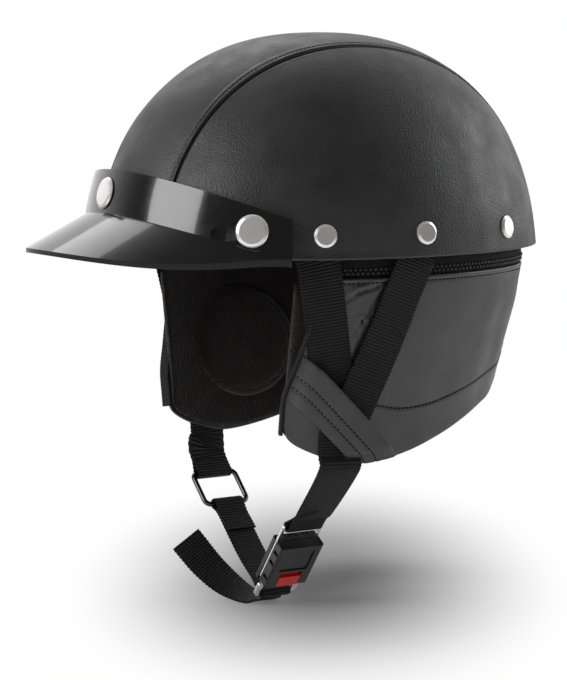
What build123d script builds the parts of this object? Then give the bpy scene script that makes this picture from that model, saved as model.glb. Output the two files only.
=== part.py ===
"""Half shell motorcycle helmet, covered in leather, with a press-stud peak and a zipped neck curtain.

Millimetres. The wearer looks along -Y, the wearer's left is +X, up is +Z. The origin is the middle of
the head opening, in the plane of the shell's lower rim. The shell is an egg: one half width, and a
half length each for the front and the rear. Every layer is that egg moved in or out.
"""

import os
from functools import cache
from math import atan2, cos, degrees, hypot, pi, radians, sin, sqrt, tan

from build123d import *

# The rigid shell's outer surface.
shell_half_width = 113.5
shell_front_length = 136.5
shell_rear_length = 140.5
shell_rise = 147.0
widest_height = -20.0
fullness = 2.3
shell_wall = 3.0

# The rim: level at the sides and the rear, and lifted in an arc over the forehead.
rim_arc_start = -55.0
rim_arc_radius = 190.0

# The leather cover, glued on in three panels and folded under the rim.
leather = 1.4
glue = 0.1
seam_groove = 0.9
panel_half_front = 41.0
panel_half_crown = 46.0
panel_half_rear = 35.0

# The padding inside.
foam_gap = 0.2
foam_thickness = 22.0
foam_lift = 6.0
foam_skirt_top = 30.0
crown_pad_thickness = 6.0
crown_pad_bottom = 58.0
headband_thickness = 8.0
headband_top = 46.0
headband_lift = 3.0
pad_gap = 0.3

# Webbing, and the rivets that hold it to the shell.
webbing_width = 25.0
webbing = 1.5
strap_play = 0.75
strap_gap = 0.1
leg_top = 24.0
leg_end = -97.0
leg_places = {"front": (-59.0, -36.0), "rear": (15.5, -30.0)}
leg_shares = (0.0, 0.1, 0.25, 0.4, 0.55, 0.7, 0.85, 1.0)
leg_step = 2.3
leg_lap_start = 0.46
leg_lap = 0.14
strap_foot_y = -33.0
strap_foot_top = -102.5
strap_bend_z = -113.0
rivet_height = 12.5
rivet_cap_radius = 6.7
rivet_cap_height = 1.7
rivet_shank_radius = 2.0
rivet_hole_clearance = 0.1
hole_turn = 37.0
rivet_washer_radius = 5.5
rivet_washer = 0.8
rivet_y = {"strap_front": -52.0, "strap_rear": 10.0, "curtain": 77.0}

# The neck curtain with its ear flaps: half widths and lengths at equal steps down from the zip.
curtain_top = -6.0
curtain_step = 40.0
curtain_sink = 5.9
curtain_half_widths = (107.6, 100.5, 92.0, 86.0)
curtain_front_lengths = (130.6, 128.5, 126.5, 124.5)
curtain_rear_lengths = (134.6, 123.5, 113.0, 104.5)
curtain_edge = -12.5
flap_front = -71.0
flap_bottom = -123.5
curtain_rear_bottom = -68.0
lining_thickness = 5.0
lining_gap = 0.1
lining_inset = 2.0
ear_pad_radius = 35.0
ear_pad_depth = 9.0
ear_pad_y = -5.0
ear_pad_z = -67.0

# The zip that joins the curtain to the helmet.
tooth_row = 1.8
tooth_depth = 2.4
tooth_gap = 0.2
zip_middle = -9.1
tape = 0.8
tape_upper_top = 20.0
tape_lower_bottom = -21.0
zip_front = -50.0
slider_length = 9.0
slider_wall = 0.4
slider_play = 0.4
slider_height = 5.8
pull_length = 17.0
pull_thick = 0.7
pull_lean = 5.0
bridge_rise = 2.0
bridge_room = 1.2
bridge_width = 1.6

# The leather keepers that hold the straps on the flaps.
keeper_width = 28.0
keeper_wall = 2.0
keeper_play = 0.8
keeper_top = (-66.5, -62.0)
keeper_low = (-5.0, -118.0)
keeper_seam = 8.0

# The peak: a band on three snaps, and a short arched brim.
peak_stand_off = 6.5
peak_wall = 2.4
band_height = 25.0
peak_half_angle = 55.0
brim_length = 37.9
brim_end_length = 0.4
brim_taper_power = 1.68
brim_slope = 25.8
brim_arch_radius = 137.0
brim_root_y = -147.0
brim_root_z = 22.2
band_skirt = 8.0
brim_fillet = 5.0
snap_side_y = -88.0
snap_side_z = 15.0
snap_front_z = 33.0
snap_cap_radius = 9.5
snap_cap_height = 2.0
snap_post_radius = 3.2
snap_socket_radius = 7.0
snap_socket_height = 3.2
snap_stud_radius = 3.3
snap_stud_base_radius = 6.5
snap_stud_base = 0.9
snap_clearance = 0.4
snap_lift = 0.3
snap_sag = 0.3
slot_width = 8.6
slot_reach = 20.0

# The goggle strap tab at the rear.
tab_width = 22.0
tab_leather = 1.8
tab_hinge_z = 31.0
tab_top_z = 46.0
tab_bottom_z = 0.5
tab_snap_z = 9.0
tab_cap_radius = 6.2
tab_cap_height = 1.6
tab_socket_radius = 4.6
tab_socket_height = 1.8
tab_stud_radius = 2.0
tab_stud_height = 2.6
tab_rivet_radius = 4.5
tab_post_radius = 1.6
tab_stand = 3.1

# The chin strap hangs in one upright plane, turned a little about Z.
chin_plane_y = -27.7
chin_plane_turn = 5.7
buckle_x, buckle_z = 27.0, -168.0
buckle_turn = 36.9
ring_top_x, ring_top_z = -74.0, -148.0
ring_turn = -43.5
ring_width = 31.0
ring_length = 24.0
ring_wire_radius = 1.6
bar_play = 0.45
strap_exit_z = -127.0
sling_length = 12.0
chin_width = 21.0
chin_sag = 3.0
tail_twist = 21.0
tail_places = (
    (-8.8, -28.8, -218.6), (-19.0, -33.5, -220.4), (-33.0, -42.0, -215.0), (-45.5, -52.4, -203.0),
    (-57.0, -63.0, -186.0),
)

# The quick-release buckle, about its strap bar: x out of its face, z up its length.
frame_plate = 1.6
frame_width = 30.0
frame_length = 44.0
frame_bar = 3.0
frame_arm = 2.0
frame_slot = 6.5
cover_width = 31.0
cover_depth = 8.5
cover_wall = 1.6
back_depth = 4.5
buckle_gap = 0.25
tongue_plate = 1.6
tongue_width = 17.0
tongue_reach = 24.0
window_side_play = 1.1
tongue_overtravel = 0.8
tongue_yoke_length = 13.0
tongue_yoke_width = 31.0
tongue_slot = 5.5
button_width = 15.0
button_height = 7.5
button_travel = 3.3
tongue_neck = 4.0
tongue_lead = 5.0
tongue_back = 1.05
yoke_bar = 2.6
cover_top_z = 11.0
panel_depth = 0.8
side_slot_depth = 1.2
side_slot_height = 2.6
buckle_rivet = 1.2
cover_room = 20.6
button_proud = 0.4
button_back = 4.0
button_top = -32.6
wedge_play = 0.1
latch_plate = 0.6
latch_width = 8.0
latch_length = 4.0
latch_tip = 0.65
latch_lift = 2.2
ear_z = -24.2
ear_height = 2.0
spring_radius = 1.5
spring_wire = 0.2
spring_turns = 3.0

# How far a cutting tool runs past what it cuts.
overrun = 5.0
far = 400.0


def share_of_rise(z, offset):
    """How wide the egg still is at height z, as a share of its widest."""
    up = min(1.0, abs(z - widest_height) / (shell_rise + offset))
    return (1 - up**fullness) ** (1 / fullness)


def half_length(y, offset):
    """The egg's half length on the side of y, moved out by offset."""
    return (shell_front_length if y < 0 else shell_rear_length) + offset


def shell_x(y, z, offset=0.0):
    """Half width of the shell's surface, moved out by offset, at (y, z)."""
    share = share_of_rise(z, offset)
    along = y / (half_length(y, offset) * share)
    return (shell_half_width + offset) * share * sqrt(max(0.0, 1 - along**2))


def shell_y(z, offset=0.0, front=True):
    """Where the shell's surface, moved out by offset, crosses the middle plane at height z."""
    y = half_length(-1 if front else 1, offset) * share_of_rise(z, offset)
    return -y if front else y


def shell_normal(x, y, z):
    """The outward direction of the egg at a point on it."""
    a, b, c = shell_half_width, half_length(y, 0), shell_rise
    ring = hypot(x / a, y / b)
    flat = ring ** (fullness - 2)
    up = abs((z - widest_height) / c) ** (fullness - 1) / c
    return Vector(flat * x / a**2, flat * y / b**2, up).normalized()


def seat_on_shell(x, y, z):
    """A plane on the leather, facing out."""
    return Plane(origin=(x, y, z), z_dir=shell_normal(x, y, z))


@cache
def egg_dome(offset):
    """The solid inside the shell's outer surface, moved out by offset."""
    half_width = shell_half_width + offset
    rise = shell_rise + offset
    steps = 10
    curve_points = []
    for i in range(steps + 1):
        t = pi / 2 * i / steps
        out = half_width * cos(t) ** (2 / fullness) if i < steps else 0.0
        curve_points.append((out, 0, widest_height + rise * sin(t) ** (2 / fullness)))
    curve = Spline(curve_points, tangents=[(0, 0, 1), (-1, 0, 0)])
    foot = (0, 0, widest_height)
    face = Face(Wire([curve, Line(curve_points[-1], foot), Line(foot, curve_points[0])]))
    half = revolve(face, Axis.Z, 180)
    rear = scale(half, (1, (shell_rear_length + offset) / half_width, 1))
    front = scale(Rot(0, 0, 180) * half, (1, (shell_front_length + offset) / half_width, 1))
    return front + rear


def below_rim(lift):
    """All that lies under the rim line, which is moved up by lift."""
    low = -far
    front_y = rim_arc_start - rim_arc_radius * sin(radians(40))
    front_z = lift + rim_arc_radius * (1 - cos(radians(40)))
    middle_y = rim_arc_start - rim_arc_radius * sin(radians(20))
    middle_z = lift + rim_arc_radius * (1 - cos(radians(20)))
    corner = (0, rim_arc_start, lift)
    edges = [
        Line((0, far, lift), corner),
        ThreePointArc(corner, (0, middle_y, middle_z), (0, front_y, front_z)),
        Line((0, front_y, front_z), (0, -far, front_z)),
        Line((0, -far, front_z), (0, -far, low)),
        Line((0, -far, low), (0, far, low)),
        Line((0, far, low), (0, far, lift)),
    ]
    return extrude(Face(Wire(edges)), far / 2, dir=(1, 0, 0), both=True)


def slab(z_low, z_high, y_low=-far / 2, y_high=far / 2):
    """A wide slab between two heights, and between two places along Y."""
    middle = (0, (y_low + y_high) / 2, (z_low + z_high) / 2)
    return Pos(*middle) * Box(far, y_high - y_low, z_high - z_low)


def solids_by_x(shape):
    """The shape's solids, from the wearer's right to left."""
    return sorted(shape.solids(), key=lambda s: s.center().X)


def mirrored(shape):
    """The same piece on the wearer's other side."""
    return mirror(shape, about=Plane.YZ)


def save(name, *shapes):
    """Writes one node: a solid, or a group of separate solids."""
    found = [s for shape in shapes for s in shape.solids()]
    whole = found[0] if len(found) == 1 else Compound(found)
    export_step(whole, f"parts/{name}.step")


# Shell, leather and padding


def rivet_seats():
    """Where each rivet sits on the left side, as planes on the leather."""
    seats = {}
    for name, y in rivet_y.items():
        offset = glue + leather
        seats[name] = seat_on_shell(shell_x(y, rivet_height, offset), y, rivet_height)
    return seats


def rivet_hole(seat):
    """The clearance hole that a rivet's shank passes through."""
    radius = rivet_shank_radius + rivet_hole_clearance
    return seat.location * Rot(0, 0, hole_turn) * standing(radius, -shell_wall * 4, overrun)


def shell():
    """The moulded shell, with a hole for each rivet and snap."""
    body = egg_dome(0) - egg_dome(-shell_wall) - below_rim(0)
    for hole in both_sides([rivet_hole(s) for s in rivet_seats().values()]) + snap_holes():
        body -= hole
    return body


def both_sides(shapes):
    """Each shape with its mirror image."""
    return shapes + [mirrored(s) for s in shapes]


def leather_panels():
    """Right, centre and left panel. Each is folded under the rim."""
    hem = glue + leather
    cover = egg_dome(hem) - egg_dome(-shell_wall) - below_rim(-hem)
    cover -= egg_dome(glue) - below_rim(-glue)
    for hole in both_sides([rivet_hole(s) for s in rivet_seats().values()]) + snap_holes():
        cover -= hole
    groove = centre_strip(seam_groove) - centre_strip(0)
    cover -= groove
    centre = cover & centre_strip(0)
    left = solids_by_x(cover - centre_strip(0))[-1]
    return mirrored(left), centre, left


def centre_strip(grow):
    """The upright prism whose sides are the two seams."""
    front, crown, rear = (w + grow for w in (panel_half_front, panel_half_crown, panel_half_rear))
    end = far / 2
    arc_end = shell_rear_length + overrun
    left = ThreePointArc((front, -arc_end, 0), (crown, 0, 0), (rear, arc_end, 0))
    right = ThreePointArc((-rear, arc_end, 0), (-crown, 0, 0), (-front, -arc_end, 0))
    outline = Wire([left, Line(left @ 1, right @ 0), right, Line(right @ 1, left @ 0)])
    return Pos(0, 0, -end / 2) * extrude(Face(outline), end + end / 2)


def impact_liner():
    """The foam liner. Low down it steps in, to leave room for webbing and zip tape."""
    outer = -shell_wall - foam_gap
    body = egg_dome(outer) - egg_dome(outer - foam_thickness) - below_rim(foam_lift)
    step = egg_dome(outer + overrun) - egg_dome(-curtain_sink - leather - tape - 2 * foam_gap - glue)
    body -= step & slab(widest_height, foam_skirt_top)
    for seat in rivet_seats().values():
        pocket = seat.location * Pos(0, 0, -shell_wall * 2) * Cylinder(
            rivet_washer_radius + foam_gap * 5, shell_wall * 4
        )
        body = body - pocket - mirrored(pocket)
    for seat in (snap_seats()[2], tab_rivet_seat()):
        body -= seat.location * Cylinder(rivet_washer_radius + foam_gap, shell_wall * 4)
    return body


def crown_pad():
    """The pad against the top of the head."""
    outer = -shell_wall - foam_gap - foam_thickness - pad_gap
    body = egg_dome(outer) - egg_dome(outer - crown_pad_thickness)
    return body & slab(crown_pad_bottom, far / 2)


def headband():
    """The sweatband pad round the inside of the foam."""
    outer = -shell_wall - foam_gap - foam_thickness - pad_gap
    body = egg_dome(outer) - egg_dome(outer - headband_thickness) - below_rim(headband_lift)
    return body & slab(widest_height, headband_top)


# Rivets


def rivet_depth():
    """From the leather's outer face to the back of the zip tape."""
    return glue + leather + curtain_sink + leather + lining_gap + tape + foam_gap


def rivet(seat):
    """A capped rivet: domed head outside, shank through, washer and peened tail inside."""
    depth = rivet_depth()
    rise = rivet_cap_height
    head = Pos(0, 0, rise / 4) * Cylinder(rivet_cap_radius, rise / 2)
    crown = Pos(0, 0, rise / 2) * Cone(rivet_cap_radius, rivet_cap_radius * 0.78, rise / 2,
                                      align=(Align.CENTER, Align.CENTER, Align.MIN))
    shank = Pos(0, 0, -depth / 2) * Cylinder(rivet_shank_radius, depth)
    return seat.location * (head + crown + shank)


def rivet_washer_at(seat):
    """The steel washer that the shank is peened over."""
    depth = rivet_depth()
    ring = Cylinder(rivet_washer_radius, rivet_washer)
    tail = Pos(0, 0, -rivet_washer / 2) * Cylinder(rivet_shank_radius * 1.5, rivet_washer)
    return seat.location * Pos(0, 0, -depth - rivet_washer / 2) * (ring + tail)


# Neck curtain


def at_depth(values, z):
    """The cubic through four values at equal steps down the curtain."""
    t = (curtain_top - z) / curtain_step
    total = 0.0
    for i, value in enumerate(values):
        weight = 1.0
        for j in range(len(values)):
            if j != i:
                weight *= (t - j) / (i - j)
        total += value * weight
    return total


def curtain_x(y, z, offset=0.0):
    """Half width of the curtain's outer surface, moved out by offset, at (y, z)."""
    lengths = curtain_front_lengths if y < 0 else curtain_rear_lengths
    along = y / (at_depth(lengths, z) + offset)
    return (at_depth(curtain_half_widths, z) + offset) * sqrt(1 - along**2)


@cache
def egg_skirt(offset):
    """The solid inside the curtain's outer surface, moved out by offset."""
    sections = []
    rows = zip(curtain_half_widths, curtain_front_lengths, curtain_rear_lengths)
    for i, (wide, front, rear) in enumerate(rows):
        back_arc = EllipticalCenterArc((0, 0), wide + offset, rear + offset, 0, arc_size=180)
        front_arc = EllipticalCenterArc((0, 0), wide + offset, front + offset, 180, arc_size=180)
        face = Face(Wire([back_arc, front_arc]))
        sections.append(Pos(0, 0, curtain_top - curtain_step * i) * face)
    return loft(sections)


def curtain_outline(inset):
    """The curtain seen from the side, as a prism across the helmet."""
    top = curtain_edge - inset
    front = flap_front + inset
    low = flap_bottom + inset
    rear_low = curtain_rear_bottom + inset
    rear = shell_rear_length + overrun
    points = [
        (front * 0.97, (top + low) * 0.80),
        (front * 0.85, low * 0.925),
        (front * 0.30, low),
        (rear * 0.13, low * 0.965),
        (rear * 0.52, (low + rear_low) * 0.515),
        (rear * 0.80, rear_low * 1.12),
        (rear, rear_low),
    ]
    bottom = Spline([(0, y, z) for y, z in points])
    corner = (0, front * 0.92, top)
    edges = [
        bottom,
        Line((0, rear, rear_low), (0, rear, top)),
        Line((0, rear, top), corner),
        Line(corner, (0, *points[0])),
    ]
    return extrude(Face(Wire(edges)), far / 2, dir=(1, 0, 0), both=True)


def curtain_leather():
    """The outer leather: both ear flaps and the neck piece, in one length."""
    return (egg_skirt(0) - egg_skirt(-leather)) & curtain_outline(0)


def curtain_lining():
    """The padded fleece behind the leather."""
    outer = -leather - lining_gap
    body = (egg_skirt(outer) - egg_skirt(outer - lining_thickness)) & curtain_outline(lining_inset)
    room = egg_skirt(outer + overrun) - egg_skirt(outer - tape - lining_gap)
    return body - (room & slab(tape_lower_bottom - lining_gap, curtain_top))


def ear_pad():
    """The round padded pocket that bulges inwards from the left flap's lining."""
    inner = -leather - 2 * lining_gap - lining_thickness
    middle = (curtain_x(ear_pad_y, ear_pad_z, inner), ear_pad_y, ear_pad_z)
    ball = Pos(*middle) * scale(
        Sphere(ear_pad_radius), (ear_pad_depth / ear_pad_radius, 1, 1)
    )
    return ball & egg_skirt(inner)


# Zip


def zip_ring(outer, inner, z_low, z_high, surface):
    """A band of one layer between two heights, open at the front."""
    ring = surface(outer) - surface(inner)
    return ring & slab(z_low, z_high, zip_front, far / 2)


def tooth_rows():
    """The upper and the lower row of the closed chain."""
    outer = -(tooth_depth - tape) / 2 + (-leather - lining_gap + (tooth_depth - tape))
    rows = []
    for side in (1, -1):
        near = zip_middle + side * tooth_gap / 2
        end = near + side * tooth_row
        rows.append(zip_ring(outer, outer - tooth_depth, min(near, end), max(near, end), egg_skirt))
    return rows


def zip_tapes():
    """The tape riveted in the helmet, and the tape sewn to the curtain."""
    outer = -leather - lining_gap
    shell_outer = -curtain_sink + outer
    row_edge = tooth_gap / 2 + tooth_row
    upper = zip_ring(
        shell_outer, shell_outer - tape, zip_middle + row_edge, tape_upper_top, egg_dome
    )
    for hole in both_sides([rivet_hole(s) for s in rivet_seats().values()]):
        upper -= hole
    lower = zip_ring(outer, outer - tape, tape_lower_bottom, zip_middle - row_edge, egg_skirt)
    return upper, lower


def zip_arc():
    """Centre and radius of the circle that the slider follows, through three points of the chain."""
    depth = -leather - lining_gap - tape / 2
    spots = []
    for y in (-44.0, -14.0, 16.0):
        spots.append(Vector(-curtain_x(y, zip_middle, depth), y, 0))
    circle = ThreePointArc(*spots)
    return circle.arc_center, circle.radius


def slider_place():
    """The slider's frame at rest: x outwards, y along the chain, z up."""
    y = -44.0
    depth = -leather - lining_gap - tape / 2
    spot = Vector(-curtain_x(y, zip_middle, depth), y, zip_middle)
    centre, _ = zip_arc()
    out = (spot - Vector(centre.X, centre.Y, zip_middle)).normalized()
    return Plane(origin=spot, x_dir=out, z_dir=(0, 0, 1)).location


def zip_slider():
    """The slider: two plates joined by a wedge pillar at the divider, and a bridge for the pull."""
    room = tooth_depth + 2 * slider_play
    depth = room + 2 * slider_wall
    body = Box(depth, slider_length, slider_height)
    body = fillet(body.edges().filter_by(Axis.X), slider_wall)
    body -= Box(room, slider_length + overrun, 2 * tooth_row + tooth_gap + 2 * slider_play)
    body -= Box(tape + 6 * slider_play, slider_length + overrun, slider_height + overrun)
    pillar = Pos(0, slider_length / 2 - slider_wall, 0) * Box(depth - slider_wall, slider_wall, tooth_gap / 2)
    bridge = Pos(-depth / 2 - bridge_rise / 2, 0, 0) * Box(bridge_rise, slider_length * 0.75, bridge_width)
    bridge -= Pos(-depth / 2 - bridge_room / 2, 0, 0) * Box(bridge_room, slider_length * 0.45, far)
    return slider_place() * (body + pillar + bridge)


def zip_pull():
    """The pull: its crossbar lies under the slider's bridge, and it points to the front."""
    depth = tooth_depth + 2 * slider_play + 2 * slider_wall
    width = bridge_width + 4 * slider_wall + 4 * slider_play
    arm = Pos(0, (pull_length - pull_thick) / 2, 0) * Box(pull_thick, pull_length, width)
    arm = fillet(arm.edges().filter_by(Axis.X), slider_wall)
    eye_length = slider_length * 0.6
    eye = Pos(0, (pull_thick + eye_length) / 2, 0) * Box(far, eye_length, bridge_width + 2 * slider_play)
    return pull_place(depth) * (arm - eye)


def pull_place(depth):
    """The pull's frame on its crossbar, in the bridge of a slider that is depth thick."""
    return slider_place() * Pos(-(depth + bridge_room) / 2, 0, 0) * Rot(0, 0, pull_lean)


# Webbing straps


def section(corners):
    """A flat four-cornered section of webbing."""
    return Face(Wire.make_polygon([Vector(*c) for c in corners], close=True))


def layer_x(y, z, offset):
    """Where a layer on the flap, or above it inside the shell, lies at (y, z)."""
    if z > curtain_top:
        return shell_x(y, z, offset - curtain_sink)
    return curtain_x(y, z, offset)


def flap_section(y, z, lean, inner, thickness, half=webbing_width / 2):
    """A strap's flat section on the flap: inner is how far its middle stands off the leather."""
    dy, dz = half * cos(lean), half * sin(lean)
    ends = [layer_x(y + side * dy, z + side * dz, inner) for side in (-1, 1)]
    bulge = layer_x(y, z, inner) - sum(ends) / 2
    corners = []
    for side, out in ((-1, thickness), (1, thickness), (1, 0), (-1, 0)):
        back = ends[0] if side < 0 else ends[1]
        corners.append((back + bulge + out, y + side * dy, z + side * dz))
    return section(corners)


def strap_leg(leg):
    """One leg of the Y, from its rivet down into the keeper, on the left side."""
    top, low = leg_places[leg]
    lean = (low - top) / (leg_top - leg_end)
    step = leg_step if leg == "rear" else 0.0
    sections = []
    for share in leg_shares:
        z = leg_top + (leg_end - leg_top) * share
        y = top + (low - top) * share
        rise = step * min(1.0, max(0.0, (share - leg_lap_start) / leg_lap))
        sections.append(flap_section(y, z, lean, strap_play + rise, webbing))
    return loft(sections, ruled=True) - rivet_hole(rivet_seats()[f"strap_{leg}"])


def ribbon(stations, width, thickness):
    """Webbing lofted through stations: each is a middle, a run direction and a width direction."""
    sections = []
    for middle, run, across in stations:
        c, w = Vector(*middle), across.normalized() * (width / 2)
        n = run.cross(across).normalized() * (thickness / 2)
        sections.append(section([tuple(c + w + n), tuple(c - w + n), tuple(c - w - n), tuple(c + w - n)]))
    return loft(sections, ruled=True)


def sling(bar_radius, width):
    """A strap's end doubled round a bar on the local Y axis. It leaves along z."""
    inner = bar_radius + bar_play
    half = strap_gap / 2
    inside = Edge.make_circle(inner).edges() + Line((-half, sling_length), (half, sling_length)).edges()
    wide = half + webbing
    outside = Edge.make_circle(inner + webbing).edges()
    outside += Line((-wide, sling_length), (wide, sling_length)).edges()
    profile = make_hull(outside) - make_hull(inside)
    return Rot(90, 0, 0) * extrude(profile, width / 2, both=True)


def chin_frame():
    """The upright plane that the buckle, tongue and ring hang in: x along it, z up."""
    return Pos(0, chin_plane_y, 0) * Rot(0, 0, chin_plane_turn)


def buckle_place():
    """The buckle's frame: its strap bar on the Y axis, x out of its face, z up its length."""
    return chin_frame() * Pos(buckle_x, 0, buckle_z) * Rot(0, buckle_turn, 0)


def ring_place():
    """The ring's frame: its top bar on the Y axis, z up its length."""
    return chin_frame() * Pos(ring_top_x, 0, ring_top_z) * Rot(0, ring_turn, 0)


def yoke_place():
    """The frame of the tongue's webbing bar."""
    middle = tongue_back + tongue_plate / 2
    return buckle_place() * Pos(middle, 0, -frame_length - tongue_yoke_length + yoke_bar / 2)


def aimed(spot, goal):
    """A frame at a spot, on the chin plane's width direction, with z aimed at goal."""
    across = Vector(0, 1, 0).rotate(Axis.Z, chin_plane_turn)
    up = goal - spot
    up = (up - across * up.dot(across)).normalized()
    return Plane(origin=spot, x_dir=across.cross(up), z_dir=up).location


def strap_foot(side):
    """Where the doubled strap leaves the flap's lower edge, on side +1 (left) or -1."""
    deep = strap_play + webbing + strap_gap / 2
    return Vector(side * curtain_x(strap_foot_y, strap_exit_z, deep), strap_foot_y, strap_exit_z)


def chin_strap(side):
    """The doubled strap from inside the keeper to its bar, on side +1 (left) or -1."""
    plies = 2 * webbing + strap_gap
    bar = buckle_place().position if side > 0 else ring_place().position
    bar_radius = frame_bar / 2 if side > 0 else ring_wire_radius
    end_frame = aimed(bar, strap_foot(side))
    low = end_frame * Pos(0, 0, sling_length)
    sections = []
    for z in (strap_foot_top, strap_bend_z, strap_exit_z):
        face = flap_section(strap_foot_y, z, 0.0, strap_play, plies)
        sections.append(face if side > 0 else mirrored(face))
    half, deep = webbing_width / 2, plies / 2
    order = ((deep, -half), (deep, half), (-deep, half), (-deep, -half))
    if side < 0:
        order = ((-deep, -half), (-deep, half), (deep, half), (deep, -half))
    sections.append(section([tuple((low * Pos(x, y, 0)).position) for x, y in order]))
    run = loft(sections, ruled=True)
    return run + end_frame * sling(bar_radius, webbing_width)


def chin_webbing():
    """The narrower webbing between the ring's lower bar and the tongue's bar."""
    ring_bar = (ring_place() * Pos(0, 0, -ring_length)).position
    tongue_bar = yoke_place().position
    first, last = aimed(ring_bar, tongue_bar), aimed(tongue_bar, ring_bar)
    start = (first * Pos(0, 0, sling_length - webbing)).position
    end = (last * Pos(0, 0, sling_length - webbing)).position
    across = Vector(0, 1, 0).rotate(Axis.Z, chin_plane_turn)
    stations = []
    for share in (0.0, 0.25, 0.5, 0.75, 1.0):
        spot = start + (end - start) * share - Vector(0, 0, chin_sag * 4 * share * (1 - share))
        stations.append((tuple(spot), end - start, across))
    body = ribbon(stations, chin_width, webbing)
    return body + first * sling(ring_wire_radius, chin_width) + last * sling(yoke_bar / 2, chin_width)


def strap_tail():
    """The webbing's free end, past the tongue's bar."""
    spots = [Vector(*p) for p in tail_places]
    first = Vector(0, 1, 0).rotate(Axis.Z, chin_plane_turn)
    last = Vector(0, 1, 0).rotate(Axis.Z, -tail_twist)
    stations = []
    for i, spot in enumerate(spots):
        run = spots[min(i + 1, len(spots) - 1)] - spots[max(i - 1, 0)]
        across = first + (last - first) * (i / (len(spots) - 1))
        across = (across - run * (across.dot(run) / run.dot(run))).normalized()
        stations.append((tuple(spot), run, across))
    return ribbon(stations, chin_width, webbing)


def slider_ring():
    """The rectangular ring of bent wire."""
    outline = RectangleRounded(ring_width, ring_length, ring_wire_radius * 2.5)
    path = (Pos(0, 0, -ring_length / 2) * Plane.YZ.location * outline).faces()[0].outer_wire()
    start = path.edges().sort_by(Axis.Z)[-1]
    profile = Plane(origin=start @ 0.5, z_dir=start % 0.5) * Circle(ring_wire_radius)
    return ring_place() * sweep(profile, path=path)


# Leather keepers


def keeper():
    """The band over the left straps: sewn down at both ends, raised over the webbing between."""
    inner = strap_play + leg_step + webbing + keeper_play
    start, end = Vector(0, *keeper_top), Vector(0, *keeper_low)
    run = end - start
    tilt = degrees(atan2(run.Z, run.Y))
    middle = Pos(0, (start.Y + end.Y) / 2, (start.Z + end.Z) / 2) * Rot(tilt, 0, 0)
    band = middle * Box(far, run.length, keeper_width)
    left = Pos(far / 2, 0, 0) * Box(far, far * 2, far * 2)
    raised = (egg_skirt(inner + keeper_wall) - egg_skirt(inner)) & band & left
    feet = (egg_skirt(inner + keeper_wall / 2) - egg_skirt(glue)) & band & left
    feet -= middle * Box(far, run.length - 2 * keeper_seam, far)
    return raised + (feet - strap_room())


def strap_room():
    """The room that the front leg and the doubled strap need under the keeper's feet."""
    top, low = leg_places["front"]
    lean = (low - top) / (leg_top - leg_end)
    half, deep = webbing_width / 2 + keeper_play / 2, 2 * overrun
    leg = [flap_section(top, leg_top, lean, -deep, deep * 2, half),
           flap_section(low, leg_end, lean, -deep, deep * 2, half)]
    foot = [flap_section(strap_foot_y, z, 0.0, -deep, deep * 2, half)
            for z in (strap_foot_top, strap_exit_z - overrun)]
    return loft(leg, ruled=True) + loft(foot, ruled=True)


# Peak


def peak_offset(out=0.0):
    """How far the peak's inner face stands off the shell, plus out."""
    return glue + leather + peak_stand_off + out


def snap_seats():
    """The three snaps, as planes on the leather: left, right and centre."""
    hem = glue + leather
    side_x = shell_x(snap_side_y, snap_side_z, hem)
    front_y = shell_y(snap_front_z, hem)
    return [
        seat_on_shell(side_x, snap_side_y, snap_side_z),
        seat_on_shell(-side_x, snap_side_y, snap_side_z),
        seat_on_shell(0, front_y, snap_front_z),
    ]


def tab_seat():
    """The goggle tab's snap, as a plane on the leather."""
    return seat_on_shell(0, shell_y(tab_snap_z, glue + leather, False), tab_snap_z)


def tab_rivet_seat():
    """The rivet that holds the goggle tab, as a plane on the leather."""
    z = (tab_hinge_z + tab_top_z) / 2
    return seat_on_shell(0, shell_y(z, glue + leather, False), z)


def snap_holes():
    """The shank holes of every snap stud and of the tab's rivet."""
    seats = snap_seats() + [tab_seat(), tab_rivet_seat()]
    return [rivet_hole(s) for s in seats]


def peak():
    """Band and brim in one moulding, with a slot for each side snap."""
    inside = egg_dome(peak_offset())
    reach = radians(peak_half_angle)
    wedge_points = [(0, 0), (far * sin(reach), -far * cos(reach)), (-far * sin(reach), -far * cos(reach))]
    wedge = extrude(make_face(Polyline(*wedge_points, close=True)), far / 2)
    middle = Pos(0, snap_side_y, snap_side_z) * Rot(-band_tilt(), 0, 0)
    strip = middle * Pos(0, 0, -band_skirt / 2) * Box(far * 2, far * 2, band_height + band_skirt)
    band = (egg_dome(peak_offset(peak_wall)) - inside) & strip & wedge
    band -= brim_spine() * Cylinder(brim_arch_radius - peak_wall, far)
    body = band + (peak_brim() - inside)
    for seat in snap_seats():
        body -= seat.location * Cylinder(snap_post_radius + snap_clearance, peak_stand_off * 4)
    for side, seat in zip((1, -1), snap_seats()[:2]):
        body -= slot_cutter(seat, side)
    return body


def band_tilt():
    """How steeply the band climbs from the side snaps to the front one, in degrees."""
    return degrees(atan2(snap_front_z - snap_side_z, snap_side_y - shell_y(snap_front_z)))


def brim_spine():
    """The frame of the arched brim's own axis, which slopes down to the front."""
    tilt = radians(brim_slope)
    run = Vector(0, -cos(tilt), -sin(tilt))
    up = Vector(0, -sin(tilt), cos(tilt))
    root = Vector(0, brim_root_y, brim_root_z)
    return Plane(origin=root - up * brim_arch_radius, x_dir=(1, 0, 0), z_dir=run).location


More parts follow.
